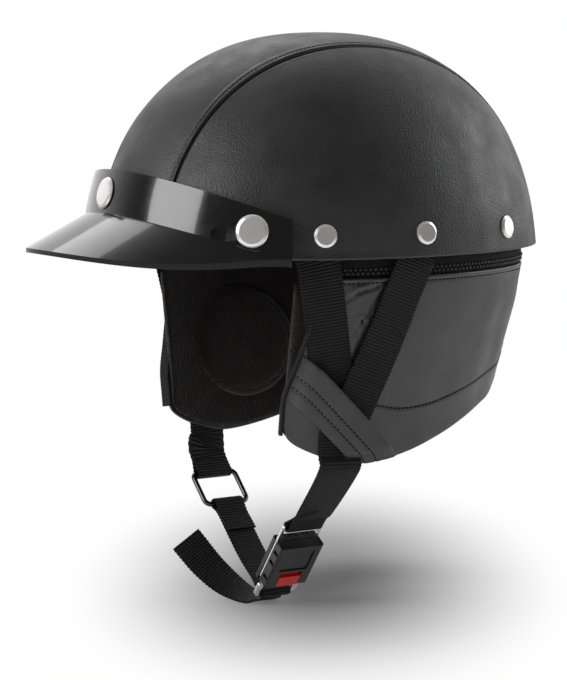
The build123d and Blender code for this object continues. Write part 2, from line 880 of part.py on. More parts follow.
def peak_brim():
    """The brim: part of a cylinder shell, cut to its outline."""
    tube = Cylinder(brim_arch_radius, far) - Cylinder(brim_arch_radius - peak_wall, far)
    outline = []
    steps = 8
    for i in range(-steps, steps + 1):
        angle = radians(peak_half_angle) * i / steps
        swell = max(0.0, cos(radians(90) * i / steps)) ** brim_taper_power
        length = brim_end_length + (brim_length - brim_end_length) * swell
        wide = shell_half_width + peak_offset(peak_wall)
        long = shell_front_length + peak_offset(peak_wall)
        reach = 1 / hypot(sin(angle) / wide, cos(angle) / long) + length
        outline.append((reach * sin(angle), -reach * cos(angle)))
    edge = Spline(outline)
    face = Face(Wire([edge, Line(edge @ 1, (0, 0)), Line((0, 0), edge @ 0)]))
    prism = extrude(face, far / 2, both=True)
    return (brim_spine() * tube) & prism & slab(-brim_arch_radius / 3, far / 2)


def slot_cutter(seat, side):
    """The slot that runs forward from a side snap."""
    forward = Vector(0, -1, 0)
    forward = (forward - seat.z_dir * forward.dot(seat.z_dir)).normalized()
    plane = Plane(origin=seat.origin, x_dir=forward, z_dir=seat.z_dir)
    slot = SlotCenterToCenter(slot_reach, slot_width)
    return extrude(plane.location * Pos(slot_reach / 2, 0, 0) * slot, peak_stand_off * 2, both=True)


def domed_disc(radius, height):
    """A cap with a rounded shoulder, standing on z = 0."""
    profile = [
        (0, 0, 0),
        (radius, 0, 0),
        (radius, 0, height * 0.25),
        (radius * 0.93, 0, height * 0.62),
        (radius * 0.78, 0, height * 0.88),
        (0, 0, height),
    ]
    return revolve(make_face(Polyline(*profile, close=True)), Axis.Z)


def standing(radius, low, high):
    """A cylinder on z between two heights."""
    return Pos(0, 0, (low + high) / 2) * Cylinder(radius, high - low)


def snap_cap(seat, stand, wall, cap_radius, cap_height, post_radius, socket_height):
    """A cap with its post, which passes through the part that it closes."""
    cap = Pos(0, 0, stand + wall + snap_lift) * domed_disc(cap_radius, cap_height)
    post = standing(post_radius, stand - snap_sag - socket_height * 0.3, stand + wall + cap_height / 2)
    return seat.location * (cap + post)


def snap_socket(seat, stand, socket_radius, socket_height, stud_radius, post_radius):
    """The socket behind the part: it clips over the stud and is pressed on the cap's post."""
    high = stand - snap_sag
    body = standing(socket_radius, high - socket_height, high)
    body -= standing(stud_radius + snap_clearance, high - socket_height - overrun, high - socket_height * 0.4)
    return seat.location * (body - standing(post_radius, high - socket_height * 0.3, high + overrun))


def snap_stud(seat, stand, socket_height, stud_radius, base_radius):
    """The stud on the helmet, with its shank through the shell and a flange inside."""
    high = stand - snap_sag - socket_height * 0.4 - snap_clearance
    base = standing(base_radius, foam_gap / 2, snap_stud_base)
    stud = standing(stud_radius, foam_gap / 2, high)
    inside = -(glue + leather + shell_wall) - foam_gap * 2
    shank = standing(rivet_shank_radius, inside, stand / 4)
    flange = standing(rivet_washer_radius * 0.9, inside - rivet_washer, inside)
    return seat.location * (base + stud + shank + flange)


# Goggle strap tab


def goggle_tab():
    """The leather tab at the rear: riveted at the top, snapped at the bottom."""
    inner = glue + leather + tab_stand
    layer = egg_dome(inner + tab_leather) - egg_dome(inner)
    body = layer & slab(tab_bottom_z, tab_top_z, 0) & Box(tab_width, far * 2, far)
    body -= tab_seat().location * Cylinder(tab_post_radius + foam_gap / 2, peak_stand_off * 3)
    body -= tab_rivet_seat().location * Cylinder(rivet_shank_radius + foam_gap / 2, peak_stand_off * 3)
    return body


def tab_rivet():
    """The rivet through the tab's top and the shell."""
    outer = tab_stand + tab_leather
    head = Pos(0, 0, outer + snap_lift) * domed_disc(tab_rivet_radius, tab_cap_height)
    spacer = standing(rivet_shank_radius * 1.7, foam_gap / 2, tab_stand - snap_sag * 2)
    inside = -(glue + leather + shell_wall) - foam_gap * 2
    shank = standing(rivet_shank_radius, inside, outer + tab_cap_height / 2)
    tail = standing(rivet_washer_radius * 0.8, inside - rivet_washer, inside)
    return tab_rivet_seat().location * (head + spacer + shank + tail)


# Quick-release buckle


def block(x, y, z):
    """A box from three (low, high) pairs."""
    size = [hi - lo for lo, hi in (x, y, z)]
    middle = [(hi + lo) / 2 for lo, hi in (x, y, z)]
    return Pos(*middle) * Box(*size)


def centred(width):
    """A (low, high) pair about zero."""
    return (-width / 2, width / 2)


def plate_outline(width, top, bottom, corner):
    """A rounded plate face on the local YZ plane between two heights."""
    face = RectangleRounded(width, top - bottom, corner)
    return Pos(0, 0, (top + bottom) / 2) * Plane.YZ.location * face


def buckle_frame():
    """The steel plate: strap bar and slot at the top, latch window and tongue stop below."""
    plate = extrude(
        plate_outline(frame_width, frame_bar / 2, -frame_length, frame_bar), frame_plate / 2, both=True
    )
    slot = plate_outline(
        frame_width - 2 * frame_arm, -frame_bar / 2, -frame_bar / 2 - frame_slot, frame_arm / 4
    )
    plate -= extrude(slot, frame_plate * 2, both=True)
    plate -= block(centred(frame_plate * 3), centred(latch_width + 2 * buckle_gap), latch_z(buckle_gap))
    for y, z in buckle_rivet_spots():
        plate -= Pos(0, y, z) * Rot(0, 90, 0) * Cylinder(buckle_rivet + rivet_hole_clearance, frame_plate * 3)
    return plate


def buckle_rivet_spots():
    """Where the two halves and the plate are riveted together, as (y, z)."""
    side = frame_width / 2 - frame_bar
    return [(s * side, z) for s in (-1, 1) for z in (-cover_top_z - frame_bar, frame_bar - frame_length)]


def latch_z(grow=0.0):
    """The heights between which the latch drops through the tongue's window."""
    high = -frame_length + tongue_reach - tongue_lead
    return (high - latch_length - grow, high + grow)


def buckle_cover():
    """The moulded front cover: hollow, with side slots, a recessed panel and the button's window."""
    near, out = frame_plate / 2 + buckle_gap / 2, cover_depth
    top, low = -cover_top_z, -frame_length
    body = block((near, out), centred(cover_width), (low, top))
    body = fillet(body.edges().filter_by(Axis.Z).sort_by(Axis.X)[-2:], cover_wall)
    body = fillet(body.edges().filter_by(Axis.Y).sort_by(Axis.X)[-1:], cover_wall / 2)
    room_top = top - cover_wall
    body -= block((near - overrun, out - cover_wall), centred(cover_room), (low + cover_wall, room_top))
    body -= block((near - overrun, tongue_back + tongue_plate + buckle_gap),
                  centred(tongue_width + 2 * buckle_gap),
                  (low - overrun, low + tongue_reach + tongue_overtravel + buckle_gap))
    window_top = low + cover_wall / 3 + button_height + button_travel + buckle_gap
    body -= block((button_back * 1.5 - buckle_gap, out + overrun), centred(button_width + 2 * buckle_gap),
                  (low - overrun, window_top))
    panel_low = window_top + cover_wall
    body -= block((out - panel_depth, out + overrun), centred(cover_width * 0.66), (panel_low, top - cover_wall * 2.5))
    for side in (-1, 1):
        for share in (0.2, 0.44, 0.8):
            z = top + (low - top) * share
            notch = block((out * 0.30, out * 0.82), centred(side_slot_depth * 2), centred(side_slot_height))
            body -= Pos(0, side * cover_width / 2, z) * notch
    for y, z in buckle_rivet_spots():
        body -= Pos(0, y, z) * Rot(0, 90, 0) * Cylinder(buckle_rivet + rivet_hole_clearance, out * 1.2)
    return body


def buckle_back():
    """The moulded back cover."""
    near, out = -frame_plate / 2 - buckle_gap / 2, -back_depth
    top, low = -cover_top_z, -frame_length
    body = block((out, near), centred(cover_width), (low, top))
    body = fillet(body.edges().filter_by(Axis.Z).sort_by(Axis.X)[:2], cover_wall)
    body -= block((out + cover_wall, near + overrun), centred(latch_width + 4 * buckle_gap), latch_z(cover_wall))
    for y, z in buckle_rivet_spots():
        body -= Pos(out, y, z) * Rot(0, 90, 0) * Cylinder(buckle_rivet + rivet_hole_clearance, -out * 4)
    return body


def buckle_rivets():
    """Four rivets through both covers and the plate."""
    pins = []
    for y, z in buckle_rivet_spots():
        spot = Pos(0, y, z) * Rot(0, 90, 0)
        pins.append(spot * standing(buckle_rivet, -back_depth, cover_depth / 2))
    return pins


def tongue_plate_part():
    """The steel tongue with its latch window, widened below to a yoke with a webbing slot."""
    low = -frame_length
    reach = low + tongue_reach
    blade = extrude(
        Pos(tongue_back + tongue_plate / 2, 0, 0)
        * plate_outline(tongue_width, reach, low - tongue_neck, tongue_width / 5), tongue_plate / 2, both=True
    )
    yoke = extrude(
        Pos(tongue_back + tongue_plate / 2, 0, 0)
        * plate_outline(tongue_yoke_width, low - tongue_neck / 2, low - tongue_yoke_length, frame_bar),
        tongue_plate / 2, both=True
    )
    slot_low = low - tongue_yoke_length + yoke_bar
    body = blade + yoke
    body -= block((0, overrun), centred(chin_width + 4 * bar_play), (slot_low, slot_low + tongue_slot))
    window_low, window_high = latch_z(buckle_gap)
    window_low -= tongue_overtravel
    return body - block((0, overrun), centred(latch_width + 2 * window_side_play), (window_low, window_high))


def latch():
    """The latch plate: a tooth through the tongue's window, and an ear on each side over the wedges."""
    low, high = latch_z()
    back = latch_back()
    plate = block((back, back + latch_plate), centred(latch_width), (low, ear_z + ear_height + latch_plate))
    tooth = block((latch_tip, back + latch_plate / 2), centred(latch_width - buckle_gap), (low, high))
    tooth = chamfer(tooth.edges().filter_by(Axis.Y).sort_by(Axis.X)[:2].sort_by(Axis.Z)[:1], latch_plate)
    ears = block((back, back + latch_plate), centred(cover_room - 4 * wedge_play), (ear_z, ear_z + ear_height))
    return plate + tooth + ears


def latch_back():
    """The back face of the latch plate, just clear of the tongue."""
    return tongue_back + tongue_plate + 2 * buckle_gap


def release_button():
    """The button: a pad in the cover's lower end, and two wedges that lift the latch's ears."""
    low = -frame_length
    top = button_top
    out = cover_depth - cover_wall - buckle_gap
    plate = block((button_back, out), centred(cover_room - 2 * buckle_gap), (low + cover_wall + buckle_gap, top))
    pad_low = low + cover_wall / 3
    pad = block((button_back * 1.5, cover_depth + button_proud), centred(button_width),
                (pad_low, pad_low + button_height))
    pad = fillet(pad.edges().filter_by(Axis.Z).sort_by(Axis.X)[-2:], button_proud)
    body = plate + pad
    contact = (latch_back() - wedge_play, ear_z)
    foot = tongue_back + wedge_play
    fall = latch_lift / button_travel
    tip_z = contact[1] + (contact[0] - foot - wedge_play) / fall
    full_z = contact[1] - button_travel
    full_x = contact[0] + latch_lift
    profile = [
        (foot, top - button_travel), (foot, tip_z), (foot + wedge_play, tip_z), (full_x, full_z),
        (full_x, top), (out, top), (out, top - button_travel),
    ]
    face = make_face(Polyline(*[(x, 0, z) for x, z in profile], close=True))
    inner, outer = tongue_width / 2 + buckle_gap + wedge_play, cover_room / 2 - buckle_gap
    for side in (-1, 1):
        middle = side * (inner + outer) / 2
        body += Pos(0, middle, 0) * extrude(face, (outer - inner) / 2, both=True)
    return body


def latch_spring():
    """The coil spring between the latch and the cover's face."""
    low = latch_back() + latch_plate + wedge_play
    length = cover_depth - cover_wall - wedge_play - low - 2 * spring_wire
    path = Helix(length / spring_turns, length, spring_radius)
    start = Plane(origin=path @ 0, z_dir=path % 0)
    coil = sweep(start * Circle(spring_wire), path=path, is_frenet=True)
    return Pos(low + spring_wire, 0, ear_z) * Rot(0, 90, 0) * coil


# All nodes


def build():
    os.makedirs("parts", exist_ok=True)
    save("outer_shell", shell())
    right, centre, left = leather_panels()
    save("leather_right_panel", right)
    save("leather_centre_panel", centre)
    save("leather_left_panel", left)
    save("impact_liner", impact_liner())
    save("crown_pad", crown_pad())
    save("headband_pad", headband())

    seats = list(rivet_seats().values())
    save("rim_rivets", *both_sides([rivet(s) for s in seats]))
    save("rivet_washers", *both_sides([rivet_washer_at(s) for s in seats]))

    save("curtain_leather", curtain_leather())
    save("curtain_lining", curtain_lining())
    pad = ear_pad()
    save("left_ear_pad", pad)
    save("right_ear_pad", mirrored(pad))
    upper_teeth, lower_teeth = tooth_rows()
    save("zip_teeth_upper", upper_teeth)
    save("zip_teeth_lower", lower_teeth)
    upper_tape, lower_tape = zip_tapes()
    save("zip_tape_upper", upper_tape)
    save("zip_tape_lower", lower_tape)
    save("zip_slider", zip_slider())
    save("zip_pull", zip_pull())

    for leg in ("front", "rear"):
        strap = strap_leg(leg)
        save(f"left_{leg}_strap", strap)
        save(f"right_{leg}_strap", mirrored(strap))
    band = keeper()
    save("left_keeper", band)
    save("right_keeper", mirrored(band))
    save("left_chin_strap", chin_strap(1))
    save("right_chin_strap", chin_strap(-1))
    save("slider_ring", slider_ring())
    save("chin_webbing", chin_webbing())
    save("strap_tail", strap_tail())

    peak_stack = (peak_stand_off, peak_wall)
    save("peak", peak())
    save("peak_snap_caps", *[
        snap_cap(s, *peak_stack, snap_cap_radius, snap_cap_height, snap_post_radius, snap_socket_height)
        for s in snap_seats()
    ])
    save("peak_snap_sockets", *[
        snap_socket(s, peak_stand_off, snap_socket_radius, snap_socket_height, snap_stud_radius,
                    snap_post_radius) for s in snap_seats()
    ])
    save("snap_studs", *[
        snap_stud(s, peak_stand_off, snap_socket_height, snap_stud_radius, snap_stud_base_radius)
        for s in snap_seats()
    ])

    save("goggle_tab", goggle_tab())
    save("goggle_tab_rivet", tab_rivet())
    save("goggle_tab_cap", snap_cap(
        tab_seat(), tab_stand, tab_leather, tab_cap_radius, tab_cap_height, tab_post_radius,
        tab_socket_height
    ))
    save("goggle_tab_socket", snap_socket(
        tab_seat(), tab_stand, tab_socket_radius, tab_socket_height, tab_stud_radius, tab_post_radius
    ))
    save("goggle_tab_stud", snap_stud(
        tab_seat(), tab_stand, tab_socket_height, tab_stud_radius, tab_socket_radius
    ))

    place = buckle_place()
    save("buckle_frame", place * buckle_frame())
    save("buckle_cover", place * buckle_cover())
    save("buckle_back_cover", place * buckle_back())
    save("buckle_rivets", *[place * pin for pin in buckle_rivets()])
    save("tongue_plate", place * tongue_plate_part())
    save("latch", place * latch())
    save("latch_spring", place * latch_spring())
    save("release_button", place * release_button())


build()
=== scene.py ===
"""A leather-covered half shell helmet with a snap-on peak, zipped neck curtain and quick-release strap."""
from math import asin, cos, exp, hypot, pi, radians, sin, sqrt

import bmesh
import bpy
from mathutils import Matrix, Vector


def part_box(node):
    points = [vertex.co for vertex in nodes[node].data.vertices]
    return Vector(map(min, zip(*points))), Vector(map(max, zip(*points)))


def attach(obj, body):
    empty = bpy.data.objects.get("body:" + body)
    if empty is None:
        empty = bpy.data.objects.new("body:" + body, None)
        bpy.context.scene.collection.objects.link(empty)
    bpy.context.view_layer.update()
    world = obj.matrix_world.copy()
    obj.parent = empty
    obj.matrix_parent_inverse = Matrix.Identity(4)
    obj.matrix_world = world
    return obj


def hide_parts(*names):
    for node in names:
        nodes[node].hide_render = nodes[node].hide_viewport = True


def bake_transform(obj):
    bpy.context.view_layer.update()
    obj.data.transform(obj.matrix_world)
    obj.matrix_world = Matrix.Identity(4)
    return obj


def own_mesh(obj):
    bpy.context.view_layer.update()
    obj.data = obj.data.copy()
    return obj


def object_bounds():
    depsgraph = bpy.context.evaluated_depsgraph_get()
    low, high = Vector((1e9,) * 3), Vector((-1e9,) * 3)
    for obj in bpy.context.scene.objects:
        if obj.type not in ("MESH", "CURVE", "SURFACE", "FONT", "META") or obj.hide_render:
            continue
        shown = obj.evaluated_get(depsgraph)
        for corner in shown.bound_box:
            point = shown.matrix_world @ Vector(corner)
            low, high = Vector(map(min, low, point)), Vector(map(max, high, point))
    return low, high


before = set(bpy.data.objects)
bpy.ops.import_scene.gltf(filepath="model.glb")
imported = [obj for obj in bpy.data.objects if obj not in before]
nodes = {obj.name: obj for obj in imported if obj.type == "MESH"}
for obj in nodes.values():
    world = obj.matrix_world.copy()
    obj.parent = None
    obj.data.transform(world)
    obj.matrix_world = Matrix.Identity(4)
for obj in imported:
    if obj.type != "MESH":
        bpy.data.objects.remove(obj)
cad_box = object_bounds()
MM = 0.001
sides = (("left", 1), ("right", -1))

# The shell is an egg: half width, front and rear half length, and rise above its widest height
half_width, front_length, rear_length = 113.5, 136.5, 140.5
rise, widest, fullness = 147.0, -20.0, 2.3

# The rim's arc over the forehead: its radius, where it starts, and how far forward it goes
arc_radius, arc_start, arc_reach = 190.0, -55.0, 122.0

# The centre panel: its half width at the top, its half length, and how the width changes towards its ends
panel_half, panel_length, panel_taper, panel_waist = 46.0, 145.5, 3.0, 8.0
seam_gap, cover_out = 0.9, 1.5

# The curtain's half width and half lengths at its top, and at each further step down
curtain_top, curtain_edge, section_step = -6.0, -12.5, 40.0
curtain_halves = (107.6, 100.5, 92.0, 86.0)
curtain_fronts, curtain_rears = (130.6, 128.5, 126.5, 124.5), (134.6, 123.5, 113.0, 104.5)


def smooth(a, b, t):
    """Rises softly from 0 at a to 1 at b."""
    t = min(1.0, max(0.0, (t - a) / (b - a)))
    return t * t * (3 - 2 * t)


def near(away, wide):
    """1 at an edge, and softly down to 0 at a distance wide from it."""
    return 1 - smooth(0.0, wide, away)


def bell(away, wide):
    """A soft bump: 1 in its middle, and 0 far from it."""
    return exp(-((away / wide) ** 2))


def spread(low, high, count):
    return [low + (high - low) * i / (count - 1) for i in range(count)]


def remembered(work):
    """Keeps what a slow function of one value has answered."""
    answers = {}

    def ask(value):
        if value not in answers:
            answers[value] = work(value)
        return answers[value]

    return ask


def rim_height(y):
    """The rim is level, and lifts in an arc over the forehead."""
    reach = min(arc_reach, max(0.0, arc_start - y))
    return arc_radius - sqrt(arc_radius**2 - reach**2)


def seam_x(y):
    """Half width of the centre panel, seen from above."""
    t = y / panel_length
    return panel_half - panel_taper * t - panel_waist * t * t


def half_length(y):
    return front_length if y < 0 else rear_length


def egg_normal(x, y, z):
    ring = hypot(x / half_width, y / half_length(y))
    flat = ring ** (fullness - 2)
    up = (abs(z - widest) / rise) ** (fullness - 1) / rise
    return Vector((flat * x / half_width**2, flat * y / half_length(y) ** 2, up)).normalized()


def ring_share(up):
    """The egg's width at a share of its rise, as a share of its widest ring."""
    return max(0.0, 1 - min(1.0, abs(up)) ** fullness) ** (1 / fullness)


def ring_reach(phi, out=0.0):
    """The egg's widest ring, moved out by a distance, in the direction phi from the front."""
    return 1 / hypot(sin(phi) / (half_width + out), cos(phi) / (half_length(-cos(phi)) + out))


def polar(phi, reach, z):
    return Vector((reach * sin(phi), -reach * cos(phi), z))


def across_point(x, t):
    """A point of the egg at a given x: t runs from the front rim, -1, to the rear rim, 1."""
    peak, length = ring_share(x / half_width), half_length(t)
    y = length * t
    for _ in range(6):
        low = asin(min(1.0, ((rim_height(y) - widest) / rise / peak)) ** (fullness / 2))
        angle = pi / 2 - abs(t) * (pi / 2 - low)
        up = peak * sin(angle) ** (2 / fullness)
        y = length * sqrt(max(0.0, ring_share(up) ** 2 - (x / half_width) ** 2))
        y = -y if t < 0 else y
    return Vector((x, y, widest + rise * up))


def shell_x(y, z, out):
    share = ring_share((z - widest) / (rise + out))
    along = y / ((half_length(y) + out) * share)
    return (half_width + out) * share * sqrt(max(0.0, 1 - along**2))


def at_depth(values, z):
    """A smooth curve through one value for each step down the curtain."""
    t = (curtain_top - z) / section_step
    total = 0.0
    for i, value in enumerate(values):
        weight = 1.0
        for j in range(len(values)):
            if j != i:
                weight *= (t - j) / (i - j)
        total += value * weight
    return total


def curtain_half(z, out=0.0):
    return at_depth(curtain_halves, z) + out


def curtain_long(y, z, out=0.0):
    return at_depth(curtain_fronts if y < 0 else curtain_rears, z) + out


def curtain_x(y, z, out):
    along = y / curtain_long(y, z, out)
    return curtain_half(z, out) * sqrt(max(0.0, 1 - along**2))


# Making pieces


def choose(*pieces):
    """Selects these pieces alone, and makes the first one active."""
    bpy.ops.object.select_all(action="DESELECT")
    for o in pieces:
        o.select_set(True)
    if pieces:
        bpy.context.view_layer.objects.active = pieces[0]


def added(operator, **settings):
    """The object that one of Blender's operators adds."""
    choose()
    operator(**settings)
    return bpy.context.object


def copied(o, name):
    twin = o.copy()
    twin.data = o.data.copy()
    twin.name = twin.data.name = name
    twin.parent = None
    bpy.context.scene.collection.objects.link(twin)
    return twin


def merge(o, distance=1e-6, fill=False):
    """Joins vertices at one place, closes open ends if asked, and turns the faces outwards."""
    edit = bmesh.new()
    edit.from_mesh(o.data)
    bmesh.ops.remove_doubles(edit, verts=edit.verts, dist=distance)
    if fill:
        close_ends(edit)
    bmesh.ops.recalc_face_normals(edit, faces=edit.faces)
    edit.to_mesh(o.data)
    edit.free()


def close_ends(edit):
    bmesh.ops.holes_fill(edit, edges=[e for e in edit.edges if e.is_boundary], sides=60)


def shade(o, angle=40):
    choose(o)
    bpy.ops.object.shade_smooth_by_angle(angle=radians(angle))


def modify(o, kind, **settings):
    choose(o)
    m = o.modifiers.new(kind.title(), kind)
    for key, value in settings.items():
        setattr(m, key, value)
    bpy.ops.object.modifier_apply(modifier=m.name)


def grid(name, us, vs, place, closed=False):
    """A grid with a vertex at place(u, v) for each pair. closed joins the last row to the first."""
    columns, rows = len(us) - 1, len(vs) - 1
    o = added(bpy.ops.mesh.primitive_grid_add, x_subdivisions=columns, y_subdivisions=rows, size=2)
    o.name = o.data.name = name
    for vertex in o.data.vertices:
        i, j = round((vertex.co.x + 1) / 2 * columns), round((vertex.co.y + 1) / 2 * rows)
        vertex.co = place(us[i], vs[j]) * MM
    for corner in o.data.uv_layers.active.data:
        i, j = round(corner.uv.x * columns), round(corner.uv.y * rows)
        corner.uv = (us[i], vs[j])
    if closed:
        merge(o)
    shade(o)
    return o


def face_out(o, centre=(0, 0, 0)):
    """Turns an open sheet so that its faces look away from a point."""
    total = 0.0
    c = Vector(centre) * MM
    for face in o.data.polygons:
        total += (face.center - c).dot(face.normal) * face.area
    if total < 0:
        o.data.flip_normals()


def thicken(o, thickness, outside=True):
    """Gives a sheet its thickness, on the inner side of its faces, or on the outer side."""
    modify(o, "SOLIDIFY", thickness=thickness * MM, offset=-1 if outside else 1, use_even_offset=False)


def mirror(o):
    """Brings a piece to the wearer's other side."""
    o.data.transform(Matrix.Scale(-1, 4, (1, 0, 0)))
    o.data.flip_normals()


def wear(o, material, slot, *replaced, body="helmet"):
    """Finishes a piece: material, the CAD nodes that it stands for, and the body that carries it. Its slot is
    not used.
    """
    o.data.materials.clear()
    o.data.materials.append(material)
    choose(o)
    bpy.ops.object.transform_apply(location=True, rotation=True, scale=True)
    if body:
        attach(o, body)
    if replaced:
        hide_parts(*replaced)
    return o


def joined(name, pieces):
    choose(*pieces)
    if len(pieces) > 1:
        bpy.ops.object.join()
    pieces[0].name = name
    return pieces[0]


def repeat(name, master, places):
    """Copies a small shape to each place, a matrix in metres, and joins the copies. The master is removed."""
    made = []
    for place in places:
        o = copied(master, name)
        o.data.transform(place)
        made.append(o)
    bpy.data.objects.remove(master)
    o = joined(name, made)
    shade(o)
    return o


def axes(x, y, z, spot):
    """A placement at a spot, with these three directions."""
    return Matrix.Translation(spot) @ Matrix((x, y, z)).transposed().to_4x4()


def frame_at(spot, along, out):
    """A placement in metres: x along a line, z out of the surface."""
    x = along.normalized()
    z = (out - x * out.dot(x)).normalized()
    return axes(x, z.cross(x), z, spot * MM)


# Each kind of stitch: its pitch, length and width
seam_stitch, edge_stitch, tab_stitch = (2.9, 1.9, 0.95), (2.9, 2.1, 1.0), (2.6, 1.8, 0.7)


def stitch_master(length, width, bevel=0.22, flat=0.7, pull=0.3):
    """One stitch: a short thread with rounded ends, pulled down at both."""
    o = added(bpy.ops.mesh.primitive_cylinder_add, vertices=6, radius=width / 2 * MM, depth=length * MM,
              rotation=(0, pi / 2, 0))
    bpy.ops.object.transform_apply(location=True, rotation=True, scale=True)
    modify(o, "BEVEL", width=bevel * MM, segments=1)
    for vertex in o.data.vertices:
        x = vertex.co.x / MM / (length / 2)
        vertex.co.z = vertex.co.z * flat - pull * MM * x * x
    return o


def laid_on(o, line, proud=0.12, feeler=4.0):
    """The same line, brought onto a piece's outer face."""
    found = []
    for spot, out in line:
        n = out.normalized()
        hit, place, _, _ = o.ray_cast((spot + n * feeler) * MM, -n, distance=2 * feeler * MM)
        if hit:
            found.append((place / MM + n * proud, n))
    return found


def stitches(name, line, pitch, length, width):
    """Stitches along a line of (place, outward direction) pairs."""
    places, run, due = [], 0.0, pitch / 2
    for (a, na), (b, nb) in zip(line, line[1:]):
        step = (b - a).length
        while due <= run + step:
            share = (due - run) / step
            places.append(frame_at(a.lerp(b, share), b - a, na.lerp(nb, share)))
            due += pitch
        run += step
    return repeat(name, stitch_master(length, width), places)


# Finishes


def settle(n, **settings):
    """Sets a node's inputs, named with underscores for spaces, and its properties."""
    for key, value in settings.items():
        socket = key.replace("_", " ")
        if socket in n.inputs:
            n.inputs[socket].default_value = value
        else:
            setattr(n, key, value)


def node(tree, kind, links=(), **settings):
    """Adds a node, sets it, and links outputs to its inputs."""
    n = tree.nodes.new(f"ShaderNode{kind}")
    settle(n, **settings)
    for socket, source in links:
        tree.links.new(source, n.inputs[socket])
    return n


def finish(name, colour, rough=0.5, **more):
    """A material with one shader. Returns it with its node tree and the shader."""
    m = bpy.data.materials.new(name)
    m.use_nodes = True
    shader = m.node_tree.nodes["Principled BSDF"]
    settle(shader, Base_Color=(*colour, 1), Roughness=rough, **more)
    return m, m.node_tree, shader


def where(tree, uv=False):
    return node(tree, "TexCoord").outputs["UV" if uv else "Object"]


def noise(tree, spot, scale, detail):
    return node(tree, "TexNoise", [("Vector", spot)], Scale=scale, Detail=detail).outputs["Fac"]


def ramp(tree, value, *stops):
    """A colour that follows a value between two stops, each a position and a colour."""
    made = node(tree, "ValToRGB", [("Fac", value)])
    for element, (position, colour) in zip(made.color_ramp.elements, stops):
        element.position, element.color = position, (*colour, 1)
    return made.outputs["Color"]


def mottle(tree, shader, spot, light, dark, scale, low=0.35, high=0.65, detail=4.0):
    """Colour that wanders between two tones."""
    tone = ramp(tree, noise(tree, spot, scale, detail), (low, dark), (high, light))
    tree.links.new(tone, shader.inputs["Base Color"])


def roughen(tree, shader, spot, rough, scale, detail=3.0):
    """Roughness that wanders between two values."""
    change = node(tree, "MapRange", [("Value", noise(tree, spot, scale, detail))],
                  From_Min=0.3, From_Max=0.7, To_Min=rough[0], To_Max=rough[1])
    tree.links.new(change.outputs["Result"], shader.inputs["Roughness"])


def relief(tree, shader, height, strength, distance, before=None):
    links = [("Height", height)] + ([("Normal", before)] if before else [])
    bump = node(tree, "Bump", links, Strength=strength, Distance=distance)
    tree.links.new(bump.outputs["Normal"], shader.inputs["Normal"])
    return bump.outputs["Normal"]


def leather_finish(name, light, dark, rough=(0.42, 0.58), grain=0.5):
    """Charcoal leather: pebble grain, fine pores, and a slow wander in tone and sheen."""
    m, tree, shader = finish(name, light, Specular_IOR_Level=0.75)
    spot = where(tree)
    mottle(tree, shader, spot, light, dark, scale=26.0)
    roughen(tree, shader, spot, rough, scale=60.0)
    warp = node(tree, "TexNoise", [("Vector", spot)], Scale=700.0, Detail=2.0)
    bent = node(tree, "VectorMath", [(0, warp.outputs["Color"])], operation="SCALE", Scale=0.0007)
    moved = node(tree, "VectorMath", [(0, spot), (1, bent.outputs["Vector"])], operation="ADD")
    cells = node(tree, "TexVoronoi", [("Vector", moved.outputs["Vector"])], feature="SMOOTH_F1",
                 Scale=980.0, Smoothness=0.6)
    first = relief(tree, shader, cells.outputs["Distance"], strength=grain, distance=-0.0004)
    relief(tree, shader, noise(tree, spot, 24.0, 3.0), strength=0.12, distance=0.006, before=first)
    return m


def webbing_finish(name, light, dark, rib=1.9, rough=0.6):
    """Ribbed tape: ribs across it, fine yarns along it, and painted shade that darkens the troughs between
    ribs. The UV map is in millimetres.
    """
    m, tree, shader = finish(name, light, rough, Specular_IOR_Level=0.25)
    spot = where(tree, uv=True)
    ribs = node(tree, "TexWave", [("Vector", spot)], wave_type="BANDS", bands_direction="Y",
                Scale=0.314 / rib, Distortion=0.6, Detail_Scale=1.5).outputs["Fac"]
    yarns = node(tree, "TexWave", [("Vector", spot)], wave_type="BANDS", bands_direction="X",
                 Scale=0.42, Distortion=0.4).outputs["Fac"]
    both = node(tree, "Math", [(0, ribs), (1, yarns), (2, ribs)], operation="MULTIPLY_ADD")
    first = relief(tree, shader, both.outputs["Value"], strength=0.9, distance=0.0006)
    relief(tree, shader, noise(tree, where(tree), 1500.0, 2.0), strength=0.25, distance=0.0003, before=first)
    # Painted shade: the colour runs from the light tone on the ribs to the dark tone in the troughs between
    # them
    tone = node(tree, "Mix", [(0, ribs)], data_type="RGBA")
    # A mix node's two colours are its inputs 6 and 7, and its colour is its output 2
    tone.inputs[6].default_value = (*dark, 1)
    tone.inputs[7].default_value = (*light, 1)
    tree.links.new(tone.outputs[2], shader.inputs["Base Color"])
    return m


def cloth_finish(name, light, dark, scale, bump, rough=0.95, sheen=0.25):
    """Brushed fleece or knit: short matted pile with a soft edge."""
    m, tree, shader = finish(name, light, rough, Sheen_Weight=sheen, Sheen_Roughness=0.5,
                             Specular_IOR_Level=0.2)
    spot = where(tree)
    mottle(tree, shader, spot, light, dark, scale=90.0, low=0.3, high=0.7, detail=6.0)
    relief(tree, shader, noise(tree, spot, scale, 4.0), strength=bump, distance=0.0015)
    return m


def metal_finish(name, colour, rough, stretch=(60.0, 60.0, 60.0), bump=0.03, metal=1.0):
    """Metal with a fine grain, drawn out along one direction where it is brushed."""
    m, tree, shader = finish(name, colour, rough[0], Metallic=metal)
    turned = node(tree, "Mapping", [("Vector", where(tree))], Scale=stretch).outputs["Vector"]
    roughen(tree, shader, turned, rough, scale=8.0)
    relief(tree, shader, noise(tree, turned, 24.0, 4.0), strength=bump, distance=0.0005)
    return m


